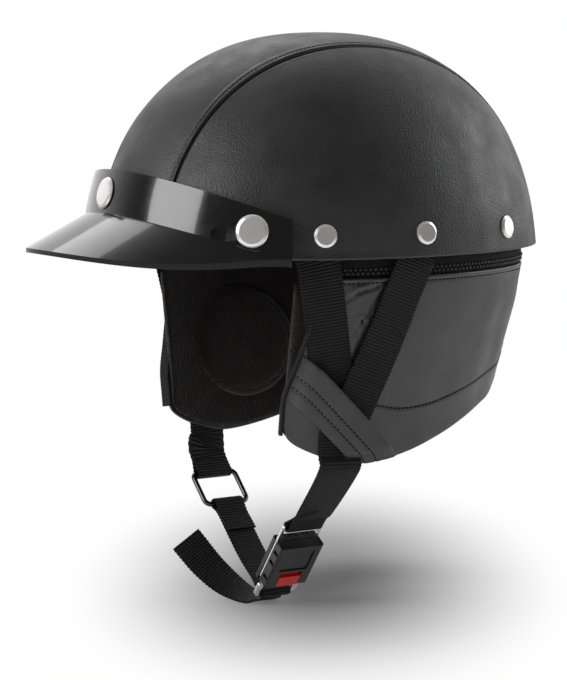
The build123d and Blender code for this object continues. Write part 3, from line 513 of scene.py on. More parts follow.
def plastic_finish(name, light, dark, rough, grain=0.06, size=1400.0, coat=0.0):
    """Moulded plastic: a fine skin, with a clear coat where it is glossy."""
    m, tree, shader = finish(name, light, rough[0], Coat_Weight=coat, Specular_IOR_Level=0.5)
    spot = where(tree)
    mottle(tree, shader, spot, light, dark, scale=40.0)
    roughen(tree, shader, spot, rough, scale=90.0)
    relief(tree, shader, noise(tree, spot, size, 2.0), strength=grain, distance=0.0004)
    return m


def bead_foam(name):
    """Black moulded foam: its beads show as flattened cells."""
    m, tree, shader = finish(name, (0.02, 0.02, 0.021), 0.85, Specular_IOR_Level=0.25)
    beads = node(tree, "TexVoronoi", [("Vector", where(tree))], Scale=330.0).outputs["Distance"]
    tone = ramp(tree, beads, (0.0, (0.03, 0.03, 0.031)), (1.0, (0.011, 0.011, 0.012)))
    tree.links.new(tone, shader.inputs["Base Color"])
    relief(tree, shader, beads, strength=0.5, distance=-0.0008)
    return m


cover_leather = leather_finish("cover_leather", (0.017, 0.0168, 0.017), (0.011, 0.011, 0.0112))
curtain_hide = leather_finish("curtain_hide", (0.021, 0.0205, 0.0205), (0.014, 0.0138, 0.0138),
                              rough=(0.36, 0.48), grain=0.3)
trim_leather = leather_finish("trim_leather", (0.019, 0.018, 0.018), (0.012, 0.0115, 0.0115),
                              rough=(0.4, 0.52), grain=0.3)
# For ribbed_webbing, tape_weave and knit_binding, the second colour is painted shade in the troughs between
# ribs
ribbed_webbing = webbing_finish("ribbed_webbing", (0.02, 0.0195, 0.0195), (0.002, 0.002, 0.002))
tape_weave = webbing_finish("tape_weave", (0.016, 0.016, 0.017), (0.008, 0.008, 0.009), 0.8, 0.75)
thread = cloth_finish("thread", (0.003, 0.003, 0.003), (0.0015, 0.0015, 0.0015), 2500.0, 0.3, 0.9, sheen=0.0)
fleece = cloth_finish("fleece", (0.011, 0.0065, 0.0058), (0.004, 0.0024, 0.0021), 700.0, 0.9)
pad_cloth = cloth_finish("pad_cloth", (0.022, 0.022, 0.024), (0.014, 0.014, 0.015), 1300.0, 0.3)
knit_binding = webbing_finish("knit_binding", (0.05, 0.05, 0.052), (0.018, 0.018, 0.019), 0.9, 0.85)
liner_foam = bead_foam("liner_foam")
shell_resin = plastic_finish("shell_resin", (0.03, 0.03, 0.031), (0.02, 0.02, 0.02), (0.45, 0.6), 0.2, 500.0)
nickel = metal_finish("nickel", (0.86, 0.85, 0.83), (0.22, 0.27), bump=0.003, metal=0.65)
steel = metal_finish("steel", (0.66, 0.66, 0.66), (0.18, 0.32), (60.0, 60.0, 900.0), 0.05)
spring_steel = metal_finish("spring_steel", (0.42, 0.42, 0.42), (0.25, 0.35))
black_wire = metal_finish("black_wire", (0.1, 0.1, 0.105), (0.2, 0.35))
zip_metal = metal_finish("zip_metal", (0.16, 0.16, 0.165), (0.25, 0.4))
tooth_plastic = plastic_finish("tooth_plastic", (0.03, 0.03, 0.031), (0.018, 0.018, 0.019), (0.25, 0.4))
peak_gloss = plastic_finish("peak_gloss", (0.008, 0.0078, 0.0078), (0.006, 0.0058, 0.0058), (0.13, 0.19),
                            grain=0.02, size=400.0, coat=0.6)
buckle_moulding = plastic_finish("buckle_moulding", (0.012, 0.012, 0.012), (0.008, 0.008, 0.008), (0.28, 0.4),
                                 grain=0.12)
button_red = plastic_finish("button_red", (0.78, 0.02, 0.012), (0.62, 0.014, 0.008), (0.25, 0.35))

# The CAD nodes that stay in view, under the finish that each one has
kept = (
    (shell_resin, "outer_shell"),
    (liner_foam, "impact_liner"),
    (nickel, "rim_rivets peak_snap_caps peak_snap_sockets snap_studs"),
    (nickel, "goggle_tab_rivet goggle_tab_cap goggle_tab_socket goggle_tab_stud"),
    (steel, "rivet_washers buckle_frame buckle_rivets tongue_plate latch"),
    (zip_metal, "zip_slider zip_pull"),
    (black_wire, "slider_ring"),
    (peak_gloss, "peak"),
    (buckle_moulding, "buckle_cover buckle_back_cover"),
    (button_red, "release_button"),
)
for material, names in kept:
    for name in names.split():
        slots = nodes[name].material_slots
        if not slots:
            nodes[name].data.materials.append(material)
        for material_slot in slots:
            material_slot.material = material


# Leather cover

# The seam: how deep its edge turns in, the raised strip beside it, and the row of stitches on that
seam_depth, strip_height, strip_inner, strip_outer = 1.25, 0.55, 5.6, 7.4
row_away, row_depth, row_wide, row_proud = 3.8, 0.3, 0.6, 0.42

# The hem's section under the rim: how far out, and how far down
hem_section = [(1.5, 0.0), (1.62, 0.5), (1.45, 1.1), (0.95, 1.5), (0.2, 1.62), (-1.2, 1.55), (-2.9, 1.5)]
hem_count, cover_thick = 9, 1.3

# The least upward share of the surface's normal, where a distance from the seam is measured
least_up, least_up_side = 0.4, 0.35


def near_ends(count, power=1.8):
    """Places from -1 to 1 that crowd towards both ends."""
    half = [1 - (i / count) ** power for i in range(count + 1)]
    return [-v for v in half] + [v for v in reversed(half[:-1])]


def centre_place(s, t):
    """A place on the centre panel's egg: s from the right seam to the left, t from front rim to rear rim."""
    y = half_length(t) * t * 0.97
    for _ in range(4):
        spot = across_point(s * seam_x(y), t)
        y = spot.y
    return spot


def hem_turn(k):
    """A place on the hem's section, k from 0 to 1."""
    run = k * (len(hem_section) - 1)
    i = min(len(hem_section) - 2, int(run))
    (a, b), (c, d) = hem_section[i], hem_section[i + 1]
    return a + (c - a) * (run - i), b + (d - b) * (run - i)


def seam_relief(d):
    """The centre panel's height near its seam: rounded edge, raised strip, row of stitches."""
    strip = strip_height * (1 - smooth(strip_inner, strip_outer, d))
    return -seam_depth * near(d, 1.1) + strip - row_depth * bell(d - row_away, row_wide)


def cover_height(spot, d, centre):
    """How far the leather's face lies off the shell at a place d from its seam."""
    wave = 0.12 * sin(spot.x * 0.045 + 1.1) * sin(spot.y * 0.037) + 0.1 * sin(spot.z * 0.07 + spot.y * 0.03)
    if centre:
        return cover_out + seam_relief(d) + wave
    return cover_out - seam_depth * near(d, 1.6) + 0.12 * bell(d - 2.4, 1.2) + wave


def place_on_cover(spot, d, centre, hem):
    n = egg_normal(*spot)
    if hem <= 0:
        return spot + n * cover_height(spot, d, centre)
    flat = Vector((n.x, n.y, 0)).normalized()
    out, down = hem_turn(hem)
    edge = min(1.0, 0.35 + d / 2.5) if out > 0 else 1.0
    return spot + flat * (out * edge) - Vector((0, 0, down))


def centre_panel_place(s, v):
    spot = centre_place(s, max(-1.0, min(1.0, v)))
    d = (1 - abs(s)) * seam_x(spot.y) / max(least_up, egg_normal(*spot).z)
    return place_on_cover(spot, d, True, abs(v) - 1)


@remembered
def side_angles(phi):
    """Where the seam and the rim lie on the egg's section in the direction phi."""
    reach = ring_reach(phi)
    share = 0.5
    for _ in range(12):
        share = (seam_x(-reach * share * cos(phi)) + seam_gap) / (reach * sin(phi))
    rim_share = 1.0
    for _ in range(6):
        rim_up = (rim_height(-reach * rim_share * cos(phi)) - widest) / rise
        rim_share = ring_share(rim_up)
    seam_up = ring_share(min(1.0, share))
    return asin(min(1.0, seam_up) ** (fullness / 2)), asin(rim_up ** (fullness / 2))


def side_place(phi, t):
    start, end = side_angles(phi)
    angle = start + (min(start, end) - start) * t
    share, up = max(0.0, cos(angle)) ** (2 / fullness), sin(angle) ** (2 / fullness)
    return polar(phi, ring_reach(phi) * share, widest + rise * up)


def side_panel_place(phi, v):
    spot = side_place(phi, min(1.0, v))
    n = egg_normal(*spot)
    d = max(0.0, spot.x - seam_x(spot.y) - seam_gap) / max(least_up_side, n.z / max(0.05, hypot(n.x, n.z)))
    return place_on_cover(spot, d, False, v - 1)


def tip(outside, inside):
    """The direction in which the seam meets the rim, between one outside the side panel and one inside it."""
    for _ in range(30):
        middle = (outside + inside) / 2
        seam, rim = side_angles(middle)
        if seam > rim:
            inside = middle
        else:
            outside = middle
    return inside


def seam_line(side):
    """The line of the stitches beside one of the centre panel's seams."""
    line = []
    for t in spread(-0.985, 0.985, 160):
        spot = centre_place(side, t)
        for _ in range(2):
            n = egg_normal(*spot)
            x = side * (seam_x(spot.y) - row_away * max(least_up, n.z))
            spot = across_point(x, t)
        line.append((spot + egg_normal(*spot) * (cover_out + row_proud), egg_normal(*spot)))
    return line


hem_rows = spread(1 / hem_count, 1, hem_count)
rows_along = [-1 - k for k in reversed(hem_rows)] + spread(-1, 1, 131) + [1 + k for k in hem_rows]
centre_panel = grid("leather_centre", near_ends(40), rows_along, centre_panel_place)
face_out(centre_panel)

front_tip, rear_tip = tip(radians(4), radians(60)), tip(radians(176), radians(120))
directions = [front_tip + (rear_tip - front_tip) * (0.5 - 0.5 * cos(a)) for a in spread(0, pi, 151)]
rows_down = [t**1.6 for t in spread(0, 1, 65)] + [1 + k for k in hem_rows]
left_panel = grid("leather_left", directions, rows_down, side_panel_place)
face_out(left_panel)
right_panel = copied(left_panel, "leather_right")
mirror(right_panel)
for o, word in ((centre_panel, "centre"), (left_panel, "left"), (right_panel, "right")):
    thicken(o, cover_thick)
    wear(o, cover_leather, "leather", f"leather_{word}_panel")

rows = []
for word, side in sides:
    rows.append(stitches(f"seam_stitches_{word}", laid_on(centre_panel, seam_line(side)), *seam_stitch))
wear(joined("seam_stitches", rows), thread, "leather_trim")


# Goggle tab and latch spring

tab_inset, tab_squareness, stitch_proud, tab_behind = 2.4, 0.3, 0.15, 20.0


def cad_copy(node_name, name, bevel, segments):
    """A CAD node's form as a piece of its own, with its edges rounded."""
    o = copied(nodes[node_name], name)
    merge(o)
    modify(o, "BEVEL", width=bevel * MM, segments=segments, limit_method="ANGLE", angle_limit=radians(40))
    shade(o, 35)
    return o


def squared(v):
    return (1 if v >= 0 else -1) * abs(v) ** tab_squareness


def goggle_tab():
    """The leather tab at the rear: its edges rounded, with a row of stitches round it."""
    o = cad_copy("goggle_tab", "tab_leather", 0.5, 3)
    low, high = (Vector(v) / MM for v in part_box("goggle_tab"))
    half_wide, half_tall = (high.x - low.x) / 2 - tab_inset, (high.z - low.z) / 2 - tab_inset
    behind, level = high.y + tab_behind, (low.z + high.z) / 2
    line = []
    for angle in spread(0, 2 * pi, 121):
        start = Vector((half_wide * squared(cos(angle)), behind, level + half_tall * squared(sin(angle))))
        found, spot, normal, _ = o.ray_cast(start * MM, Vector((0, -1, 0)))
        if found:
            line.append((spot / MM + normal * stitch_proud, normal))
    rows = stitches("tab_stitches", line, *tab_stitch)
    wear(rows, thread, "leather_trim", body=None)
    wear(o, trim_leather, "leather_trim", "goggle_tab", body=None)
    for piece in (o, rows):
        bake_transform(piece)


def latch_spring():
    """The leaf that closes the latch, carried by the buckle on a mesh of its own. The real leaf flattens as
    the latch lifts.
    """
    o = cad_copy("latch_spring", "spring_leaf", 0.06, 2)
    wear(o, spring_steel, "steel", "latch_spring", body="buckle")
    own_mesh(o)


goggle_tab()
latch_spring()


# Webbing

# Every strap's width, thickness, play over the flap, and gap between two plies
strap_width, strap_thick, strap_play, ply_gap = 25.0, 1.5, 0.75, 0.1

# A tape's edge, its scallops, and the parts of each stretch of its line
edge_turn, edge_flat, edge_fall, scallop_pitch, span_parts = 0.35, 1.1, 0.75, 2.5, 24

# The legs on the flap: their ends' heights, and for each leg the y of its top and of its foot
leg_top, leg_end = 24.0, -97.0
leg_places = {"front": (-59.0, -36.0), "rear": (15.5, -30.0)}

# The shares of a leg's length that have a station, and how much further in it lies above the flap
leg_shares, shell_inside = (0.0, 0.1, 0.25, 0.4, 0.55, 0.7, 0.85, 1.0), 5.9

# The rear leg rises over the front one: how far, from which share of its length, and over which share
cross_lift, cross_start, cross_run = 2.3, 0.46, 0.14

# The chin strap on the flap, and the places of its plies above the bar
chin_y, chin_heights, ply_heights = -33.0, (-102.5, -109.0, -118.0, -127.0), (16.0, 9.0)
buckle_bar, ring_wire, bar_play = 1.5, 1.6, 0.45

# The narrower webbing: its width, its turns round ring and tongue, and how far it sags
run_width, ring_turn, tongue_turn, run_sag = 21.0, 2.8, 2.5, 12.0
lap, lap_heights, lap_end, run_start = 0.8, (22.0, 16.0, 9.0), 7.0, 10.5
tail_line = [(-8.8, -28.8, -218.6), (-19.0, -33.5, -220.4), (-33.0, -42.0, -215.0), (-45.5, -52.4, -203.0),
             (-57.0, -63.0, -186.0)]

chin_turn = Matrix.Translation((0, -27.7, 0)) @ Matrix.Rotation(radians(5.7), 4, "Z")


def hung(spot, lean):
    """A placement in the chin strap's plane, leaning by an angle."""
    return chin_turn @ Matrix.Translation(spot) @ Matrix.Rotation(radians(lean), 4, "Y")


buckle_at, ring_at = hung((27.0, 0, -168.0), 36.9), hung((-74.0, 0, -148.0), -43.5)
ring_bar = (ring_at @ Matrix.Translation((0, 0, -24.0))).translation
tongue_bar = (buckle_at @ Matrix.Translation((1.85, 0, -55.7))).translation
bar_to_bar = tongue_bar - ring_bar
chin_across = chin_turn.to_3x3() @ Vector((0, 1, 0))
tail_across = Matrix.Rotation(radians(-21.0), 3, "Z") @ Vector((0, 1, 0))


def through(points, step):
    """Even places on a smooth line through the points, each with its share between them."""
    ends = [points[0] * 2 - points[1]] + list(points) + [points[-1] * 2 - points[-2]]
    fine = []
    for i in range(1, len(ends) - 2):
        p0, p1, p2, p3 = ends[i - 1 : i + 3]
        for j in range(span_parts):
            t = j / span_parts
            spot = 0.5 * (2 * p1 + (p2 - p0) * t + (2 * p0 - 5 * p1 + 4 * p2 - p3) * t**2
                          + (3 * p1 - p0 - 3 * p2 + p3) * t**3)
            fine.append((spot, i - 1 + t))
    fine.append((points[-1].copy(), float(len(points) - 1)))
    gaps = [(b[0] - a[0]).length for a, b in zip(fine, fine[1:])]
    length = sum(gaps)
    places, run, k = [], 0.0, 0
    for due in spread(0, length, max(2, round(length / step)) + 1):
        while k < len(gaps) - 1 and run + gaps[k] < due:
            run += gaps[k]
            k += 1
        (a, low), (b, high) = fine[k], fine[k + 1]
        f = min(1.0, (due - run) / gaps[k]) if gaps[k] else 0.0
        places.append((a.lerp(b, f), low + (high - low) * f))
    return places, length


def web(name, stations, width, thickness=strap_thick, step=0.55, scallop=0.22):
    """Woven tape with scalloped edges through stations: each a middle and the direction of its width."""
    places, length = through([Vector(s[0]) for s in stations], step)
    acrosses = [Vector(s[1]).normalized() for s in stations]
    lines = []
    for i, (spot, share) in enumerate(places):
        k = min(len(acrosses) - 2, int(share))
        across = acrosses[k].lerp(acrosses[k + 1], share - k)
        run = places[min(i + 1, len(places) - 1)][0] - places[max(i - 1, 0)][0]
        across = (across - run * (across.dot(run) / run.dot(run))).normalized()
        lines.append((spot, across, run.cross(across).normalized()))
    half, thick = width / 2, thickness / 2
    loop = [(-half, 0), (-half + edge_turn, thick * edge_fall), (-half + edge_flat, thick)]
    loop += [(x, thick) for x in spread(-half + edge_flat, half - edge_flat, 7)[1:-1]]
    loop += [(half - edge_flat, thick), (half - edge_turn, thick * edge_fall), (half, 0)]
    loop += [(-a, -b) for a, b in loop[1:-1]] + [(-half, 0)]

    def place(u, v):
        spot, across, out = lines[round(v / length * (len(lines) - 1))]
        a, b = loop[round(u)]
        swell = 1 + scallop / half * cos(2 * pi * v / scallop_pitch)
        return spot + across * (a * swell) + out * b

    o = grid(name, list(range(len(loop))), spread(0, length, len(lines)), place)
    for corner in o.data.uv_layers.active.data:
        corner.uv = (loop[round(corner.uv.x)][0], corner.uv.y)
    merge(o, fill=True)
    shade(o, 50)
    return o


def layer_x(y, z, out):
    """Where a layer on the flap, or above it inside the shell, lies."""
    return shell_x(y, z, out - shell_inside) if z > curtain_top else curtain_x(y, z, out)


def flap_station(y, z, lean, out):
    """A strap's middle and width direction on the left flap."""
    dy, dz = strap_width / 2 * cos(lean), strap_width / 2 * sin(lean)
    ends = [layer_x(y + s * dy, z + s * dz, out) for s in (-1, 1)]
    return Vector((layer_x(y, z, out), y, z)), Vector((ends[1] - ends[0], 2 * dy, 2 * dz))


def on_side(side, stations):
    return [(Vector((side * p.x, p.y, p.z)), Vector((side * a.x, a.y, a.z))) for p, a in stations]


def beside(place, x, heights):
    """Stations of a ply above a bar, at a distance x from the middle."""
    return [(place @ Vector((x, 0, z)), chin_across) for z in heights]


def round_bar(place, radius, side):
    """Stations of a strap that passes under a bar, from the far ply to the near one."""
    angles = spread(radians(6.0), radians(-186.0), 13)
    return [(place @ Vector((side * radius * cos(a), 0, radius * sin(a))), chin_across) for a in angles]


def aimed(spot, goal):
    """A frame at a spot, on the chin strap's width direction, with z aimed at goal."""
    up = goal - spot
    up = (up - chin_across * up.dot(chin_across)).normalized()
    return axes(chin_across.cross(up), chin_across, up, spot)


def leg(word, side, name):
    """One leg of a Y-strap, from inside the shell down the flap."""
    top, low = leg_places[name]
    lean = (low - top) / (leg_top - leg_end)
    stations = []
    for share in leg_shares:
        over = min(1.0, max(0.0, (share - cross_start) / cross_run)) if name == "rear" else 0.0
        stations.append(flap_station(top + (low - top) * share, leg_top + (leg_end - leg_top) * share, lean,
                                     strap_play + cross_lift * over + strap_thick / 2))
    o = web(f"strap_{word}_{name}", on_side(side, stations), strap_width)
    wear(o, ribbed_webbing, "webbing", f"{word}_{name}_strap")


def chin_strap(word, side):
    """The doubled strap from a keeper down to the buckle's bar or the ring, and back."""
    bar, radius = (buckle_at.translation, buckle_bar) if side > 0 else (ring_at.translation, ring_wire)
    deep, ply = strap_play + strap_thick + ply_gap / 2, (strap_thick + ply_gap) / 2
    foot = Vector((side * curtain_x(chin_y, chin_heights[-1], deep), chin_y, chin_heights[-1]))
    place = aimed(bar, foot)
    outer = [flap_station(chin_y, z, 0.0, deep + ply) for z in chin_heights]
    inner = [flap_station(chin_y, z, 0.0, deep - ply) for z in reversed(chin_heights)]
    stations = on_side(side, outer) + beside(place, side * ply, ply_heights)
    stations += round_bar(place, radius + bar_play + strap_thick / 2, side)
    stations += beside(place, -side * ply, reversed(ply_heights)) + on_side(side, inner)
    o = web(f"chin_strap_{word}", stations, strap_width)
    wear(o, ribbed_webbing, "webbing", f"{word}_chin_strap")


def whole_run():
    """The narrower webbing, lapped round the ring and round the tongue's bar."""
    first, last = aimed(ring_bar, tongue_bar), aimed(tongue_bar, ring_bar)
    start, end = first @ Vector((0, 0, run_start)), last @ Vector((0, 0, run_start))
    stations = beside(first, -lap, lap_heights) + round_bar(first, ring_turn, -1)
    stations += beside(first, lap, (lap_end,))
    for share in (0.25, 0.5, 0.75):
        stations.append((start.lerp(end, share) - Vector((0, 0, run_sag * share * (1 - share))), chin_across))
    stations += beside(last, lap, (lap_end,)) + round_bar(last, tongue_turn, 1)
    return web("chin_webbing_run", stations + beside(last, -lap, reversed(lap_heights)), run_width)


def half_of_run(run, name, moving):
    """The half that hangs from one moving part, cut from the run at its middle, which stays."""
    o = copied(run, name)
    edit = bmesh.new()
    edit.from_mesh(o.data)
    gone = []
    for face in edit.faces:
        along = (face.calc_center_median() / MM - ring_bar).dot(bar_to_bar) / bar_to_bar.length_squared
        if (along > 0.5) == (moving < 0.5):
            gone.append(face)
    bmesh.ops.delete(edit, geom=gone, context="FACES")
    close_ends(edit)
    edit.to_mesh(o.data)
    edit.free()
    wear(o, ribbed_webbing, "webbing", "chin_webbing", body=None)
    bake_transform(o)


for word, side in sides:
    for name in leg_places:
        leg(word, side, name)
for word, side in sides:
    chin_strap(word, side)
run = whole_run()
half_of_run(run, "chin_webbing_ring_end", moving=0.14)
half_of_run(run, "chin_webbing_tongue_end", moving=0.86)
bpy.data.objects.remove(run)
stations = [(Vector(p), chin_across.lerp(tail_across, i / 4)) for i, p in enumerate(tail_line)]
wear(web("strap_tail_run", stations, run_width), ribbed_webbing, "webbing", "strap_tail", body="tongue")


# Neck curtain

# Lines seen from the side: the foot and the hem's seam as (y, height), the flap's front edge as (depth, y)
curtain_foot = [(-65.6, -99.0), (-62.5, -106.8), (-53.0, -113.6), (-38.0, -119.6), (-21.3, -123.2),
                (3.8, -120.4), (29.4, -113.2), (61.7, -100.8), (96.8, -86.5), (120.0, -76.0), (145.5, -68.0)]
hem_seam = [(-66.0, -78.0), (-40.0, -83.0), (-13.5, -88.2), (3.5, -91.6), (25.3, -90.6), (51.6, -84.5),
            (77.5, -76.5), (104.0, -66.0), (145.5, -50.0)]
flap_edge = [(12.5, -51.0), (38.0, -54.0), (64.0, -60.4), (82.0, -65.2), (99.0, -65.6)]
flap_seams = [((-38.0, -26.5), (-28.0, -21.0)), ((-28.0, -21.0), (-10.0, -15.5)),
              ((-34.0, -56.0), (-25.0, -38.5)), ((-25.0, -38.5), (-11.0, -16.0))]
top_row, curtain_thick = 3.2, 1.4

# The knit strip on the flap's front edge: its ends' heights, width, thickness, step and scallop
binding_top, binding_foot, binding_form = -39.0, -104.0, (7.0, 2.4, 0.9, 0.12)


def follow(points, x):
    """The height of a smooth line through (place, height) pairs."""
    first, last = points[0], points[-1]
    x = max(first[0], min(last[0], x))
    ends = [(2 * first[0] - points[1][0], 2 * first[1] - points[1][1])] + points
    ends.append((2 * last[0] - points[-2][0], 2 * last[1] - points[-2][1]))
    for (x0, y0), (x1, y1), (x2, y2), (x3, y3) in zip(ends, ends[1:], ends[2:], ends[3:]):
        if x <= x2:
            t, wide = (x - x1) / (x2 - x1), x2 - x1
            a, b = (y2 - y0) / (x2 - x0) * wide, (y3 - y1) / (x3 - x1) * wide
            return ((2 * t**3 - 3 * t**2 + 1) * y1 + (t**3 - 2 * t**2 + t) * a
                    + (3 * t**2 - 2 * t**3) * y2 + (t**3 - t**2) * b)
    return last[1]


def front_edge(z):
    """The flap's front edge, seen from the side."""
    return follow(flap_edge, -z)


def wrapped(u, z, front, out=0.0):
    """A place out from the curtain: u runs from the left flap's edge, -1, round the rear to the right's."""
    start = asin(max(-1.0, front / curtain_long(-1, z, out)))
    angle = start + (pi / 2 - start) * (1 - abs(u))
    x = curtain_half(z, out) * cos(angle)
    return Vector((x if u < 0 else -x, curtain_long(sin(angle), z, out) * sin(angle), z))


def skirt_spot(u, z):
    return wrapped(u, z, front_edge(z))


@remembered
def skirt_low(u):
    """The height of the curtain's foot in the column u."""
    z = -100.0
    for _ in range(9):
        z = 0.5 * z + 0.5 * follow(curtain_foot, skirt_spot(u, z).y)
    return z


def skirt_out(spot):
    n = Vector((spot.x / curtain_half(spot.z) ** 2, spot.y / curtain_long(spot.y, spot.z) ** 2, 0))
    return n.normalized()


def folds(u, t):
    """Soft folds that fan down from the zip, deepest at the rear of each side."""
    rear = 1 - smooth(0.3, 0.72, abs(u))
    wave = 0.5 + 0.5 * sin(26.0 * u + 1.2 * t + 0.7) * cos(9.0 * u - 0.8)
    small = 0.5 + 0.5 * sin(61.0 * u - 2.2 * t)
    hang = smooth(0.02, 0.35, t) * (1 - 0.45 * smooth(0.72, 0.92, t))
    front = 0.35 * (0.5 + 0.5 * sin(9.0 * u + 5.0 * t))
    return hang * (rear * (2.6 * wave + 0.5 * small) + front)


def line_away(y, z, a, b):
    """How far (y, z) lies from the stretch a to b, seen from the side, and on which side of it."""
    p, a, b = Vector((y, z)), Vector(a), Vector(b)
    t = max(0.0, min(1.0, (p - a).dot(b - a) / (b - a).length_squared))
    return (p - a.lerp(b, t)).length, (b - a).cross(p - a)


def curtain_height(spot, down, u, t):
    """How far the curtain's face stands off its skirt: folds, turned hem, and the flap's sewn laps."""
    above, below = spot.z - follow(hem_seam, spot.y), curtain_edge - spot.z
    lap_over = 0.55 * (1 - smooth(-0.6, 0.9, above))
    dip = -0.35 * bell(above, 0.8)
    top = -0.45 * bell(below - top_row, 0.7) - 0.7 * near(below, 1.2)
    seams = 0.0
    if spot.y < 0:
        for i, (a, b) in enumerate(flap_seams):
            away, side = line_away(spot.y, spot.z, a, b)
            seams -= (0.8 if i < 2 else 0.65) * bell(away, 0.9)
            seams += 0.45 * bell(away - 2.6, 1.8) * (1 if side > 0 else 0.3)
    return folds(u, t) + lap_over + dip + top + seams - 0.4 * near(down, 1.2)


def curtain_place(u, t):
    low = skirt_low(u)
    spot = skirt_spot(u, curtain_edge + (low - curtain_edge) * t)
    return spot + skirt_out(spot) * curtain_height(spot, (1 - t) * (curtain_edge - low), u, t)


def share_down(u, height):
    """How far down the curtain a height (or a line of heights) lies in the column u."""
    z = -80.0
    for _ in range(8):
        z = follow(height, skirt_spot(u, z).y) if isinstance(height, list) else height
    return (curtain_edge - z) / (curtain_edge - skirt_low(u))


def curtain_row(name, height):
    """Stitches round the curtain at a height, or along a line of heights."""
    line = []
    for u in spread(-0.985, 0.985, 320):
        spot = curtain_place(u, share_down(u, height))
        line.append((spot + skirt_out(spot) * 0.1, skirt_out(spot)))
    return stitches(name, laid_on(curtain, line), *edge_stitch)


def binding(word, side):
    """A soft knit strip folded over the flap's front edge."""
    stations, forward = [], Vector((0, -1, 0))
    for z in spread(binding_top, binding_foot, 14):
        spot = skirt_spot(-side, z)
        out = skirt_out(spot)
        ahead = forward - out * forward.dot(out)
        stations.append((spot + ahead.normalized() * 0.7 - out * 0.5, out))
    return wear(web(f"binding_{word}", stations, *binding_form), knit_binding, "fleece")


curtain = grid("curtain_cloth", near_ends(110, 1.1), spread(0, 1, 111), curtain_place)
face_out(curtain, (0, 20, -60))
thicken(curtain, curtain_thick)
wear(curtain, curtain_hide, "leather", "curtain_leather")
rows = [curtain_row("hem_stitches", hem_seam), curtain_row("top_stitches", curtain_edge - top_row)]
curtain_rows = wear(joined("curtain_stitches", rows), thread, "leather_trim")
edges = [binding(word, side) for word, side in sides]


# Lining and pads. A stuffed section's w runs up its outer face, 0 to 1, and down its inner face, 1 to 2

# The lining: its front edge, top, lowest foot, how far it stops above the curtain's foot, and its faces
lining_front, lining_top, lining_lowest, lining_inset = -63.5, -14.6, -120.0, 2.2
lining_outer, lining_inner = -1.6, -6.4

# The ear pad: the place of its middle, its radius and depth, and where it sits on the lining
pad_y, pad_z, pad_radius, pad_depth, pad_seat = -5.0, -67.0, 35.0, 9.0, -6.35

# The crown pad: its foot, how far in from the shell its middle lies, and half its thickness
crown_low, crown_in, crown_half = 58.0, -28.5, 2.9

# The headband: its top, how far it stops above the rim, its two faces and its middle
band_top, band_above_rim, band_outer, band_inner, band_middle = 45.6, 3.4, -25.7, -33.0, -29.5


def up_share(w):
    return w if w <= 1 else 2 - w


def rounded(t, turn):
    """The thickness of a stuffed section at t from 0 to 1: full in the middle, round at both ends."""
    return sqrt(max(0.0, 1 - abs(2 * t - 1) ** turn))


def stuffed(w, outer, inner, full, quilt):
    """How far out a stuffed section's face lies."""
    middle = (outer + inner) / 2
    return middle + (outer - middle) * full if w <= 1 else middle + (inner - quilt - middle) * full


@remembered
def lining_low(u):
    """The height of the lining's foot in the column u."""
    z = -90.0
    for _ in range(10):
        foot = follow(curtain_foot, wrapped(u, z, lining_front, -4.0).y) + lining_inset
        z = 0.5 * z + 0.5 * max(lining_lowest, foot)
    return z


def lining_place(u, w):
    t = up_share(w)
    z = lining_low(u) + (lining_top - lining_low(u)) * t
    end = sqrt(max(0.0, 1 - (1 - min(1.0, (1 - abs(u)) * 90.0)) ** 2))
    outer = lining_outer - 0.9 * smooth(-23.5, -21.5, z)
    quilt = 0.5 * sin(pi * t) + 0.25 * sin(z * 0.33 + 1.3) * sin(u * 31.0)
    return wrapped(u, z, lining_front, stuffed(w, outer, lining_inner, rounded(t, 12.0) * end, quilt))


def ball(name, segments, rings):
    o = added(bpy.ops.mesh.primitive_uv_sphere_add, segments=segments, ring_count=rings, radius=1)
    o.name = name
    return o


def soft_pad(o, merge_within, material, slot, replaced):
    """Closes a padded piece, shades it and finishes it."""
    merge(o, merge_within)
    shade(o, 60)
    wear(o, material, slot, replaced)


def ear_pad(word, side):
    """The round pocket on the lining: a soft puck with a sewn rim."""
    o = ball(f"ear_pad_{word}", 72, 48)
    for vertex in o.data.vertices:
        x, y, z = vertex.co
        r = min(1.0, hypot(x, y))
        reach = r**0.62
        a, b = (x / r, y / r) if r > 1e-6 else (0.0, 0.0)
        spot_y, spot_z = pad_y + a * reach * pad_radius, pad_z + b * reach * pad_radius
        swell = max(0.0, 1 - reach**3.4) ** 0.55
        crease = -0.5 * bell(reach - 0.86, 0.03)
        soft = 0.35 * sin(a * 2.1 + reach * 4.0) * sin(b * 3.0 + 1.0) * swell
        out = pad_seat - (max(0.02, pad_depth * swell + crease + soft) if z > 0 else 0.0)
        vertex.co = Vector((side * curtain_x(spot_y, spot_z, out), spot_y, spot_z)) * MM
    soft_pad(o, 1e-6, fleece, "fleece", f"{word}_ear_pad")


def bearing(x, y):
    """The direction of (x, y), measured from the front, -Y, towards the left, +X."""
    return Vector((-y, x)).angle_signed(Vector((1, 0)), 0.0) if hypot(x, y) > 1e-6 else 0.0


def crown_cushion():
    """The pad at the top: sewn in six lobes."""
    o = ball("crown_cushion", 96, 60)
    edge = ring_share((crown_low - widest) / (rise + crown_in))
    for vertex in o.data.vertices:
        x, y, z = vertex.co
        r = min(1.0, hypot(x, y)) ** 0.75
        phi = bearing(x, y)
        lobe = 1.1 * abs(cos(3 * phi)) ** 0.4 * smooth(0.12, 0.3, r) - 1.1
        ring = -0.9 * bell(r - 0.55, 0.02)
        thick = crown_half if z > 0 else -(crown_half + lobe * 0.7 + ring)
        out = crown_in + thick * sqrt(max(0.0, 1 - r**9))
        share = r * edge
        vertex.co = polar(phi, ring_reach(phi, out) * share, widest + (rise + out) * ring_share(share)) * MM
    soft_pad(o, 1e-6, pad_cloth, "padding", "crown_pad")


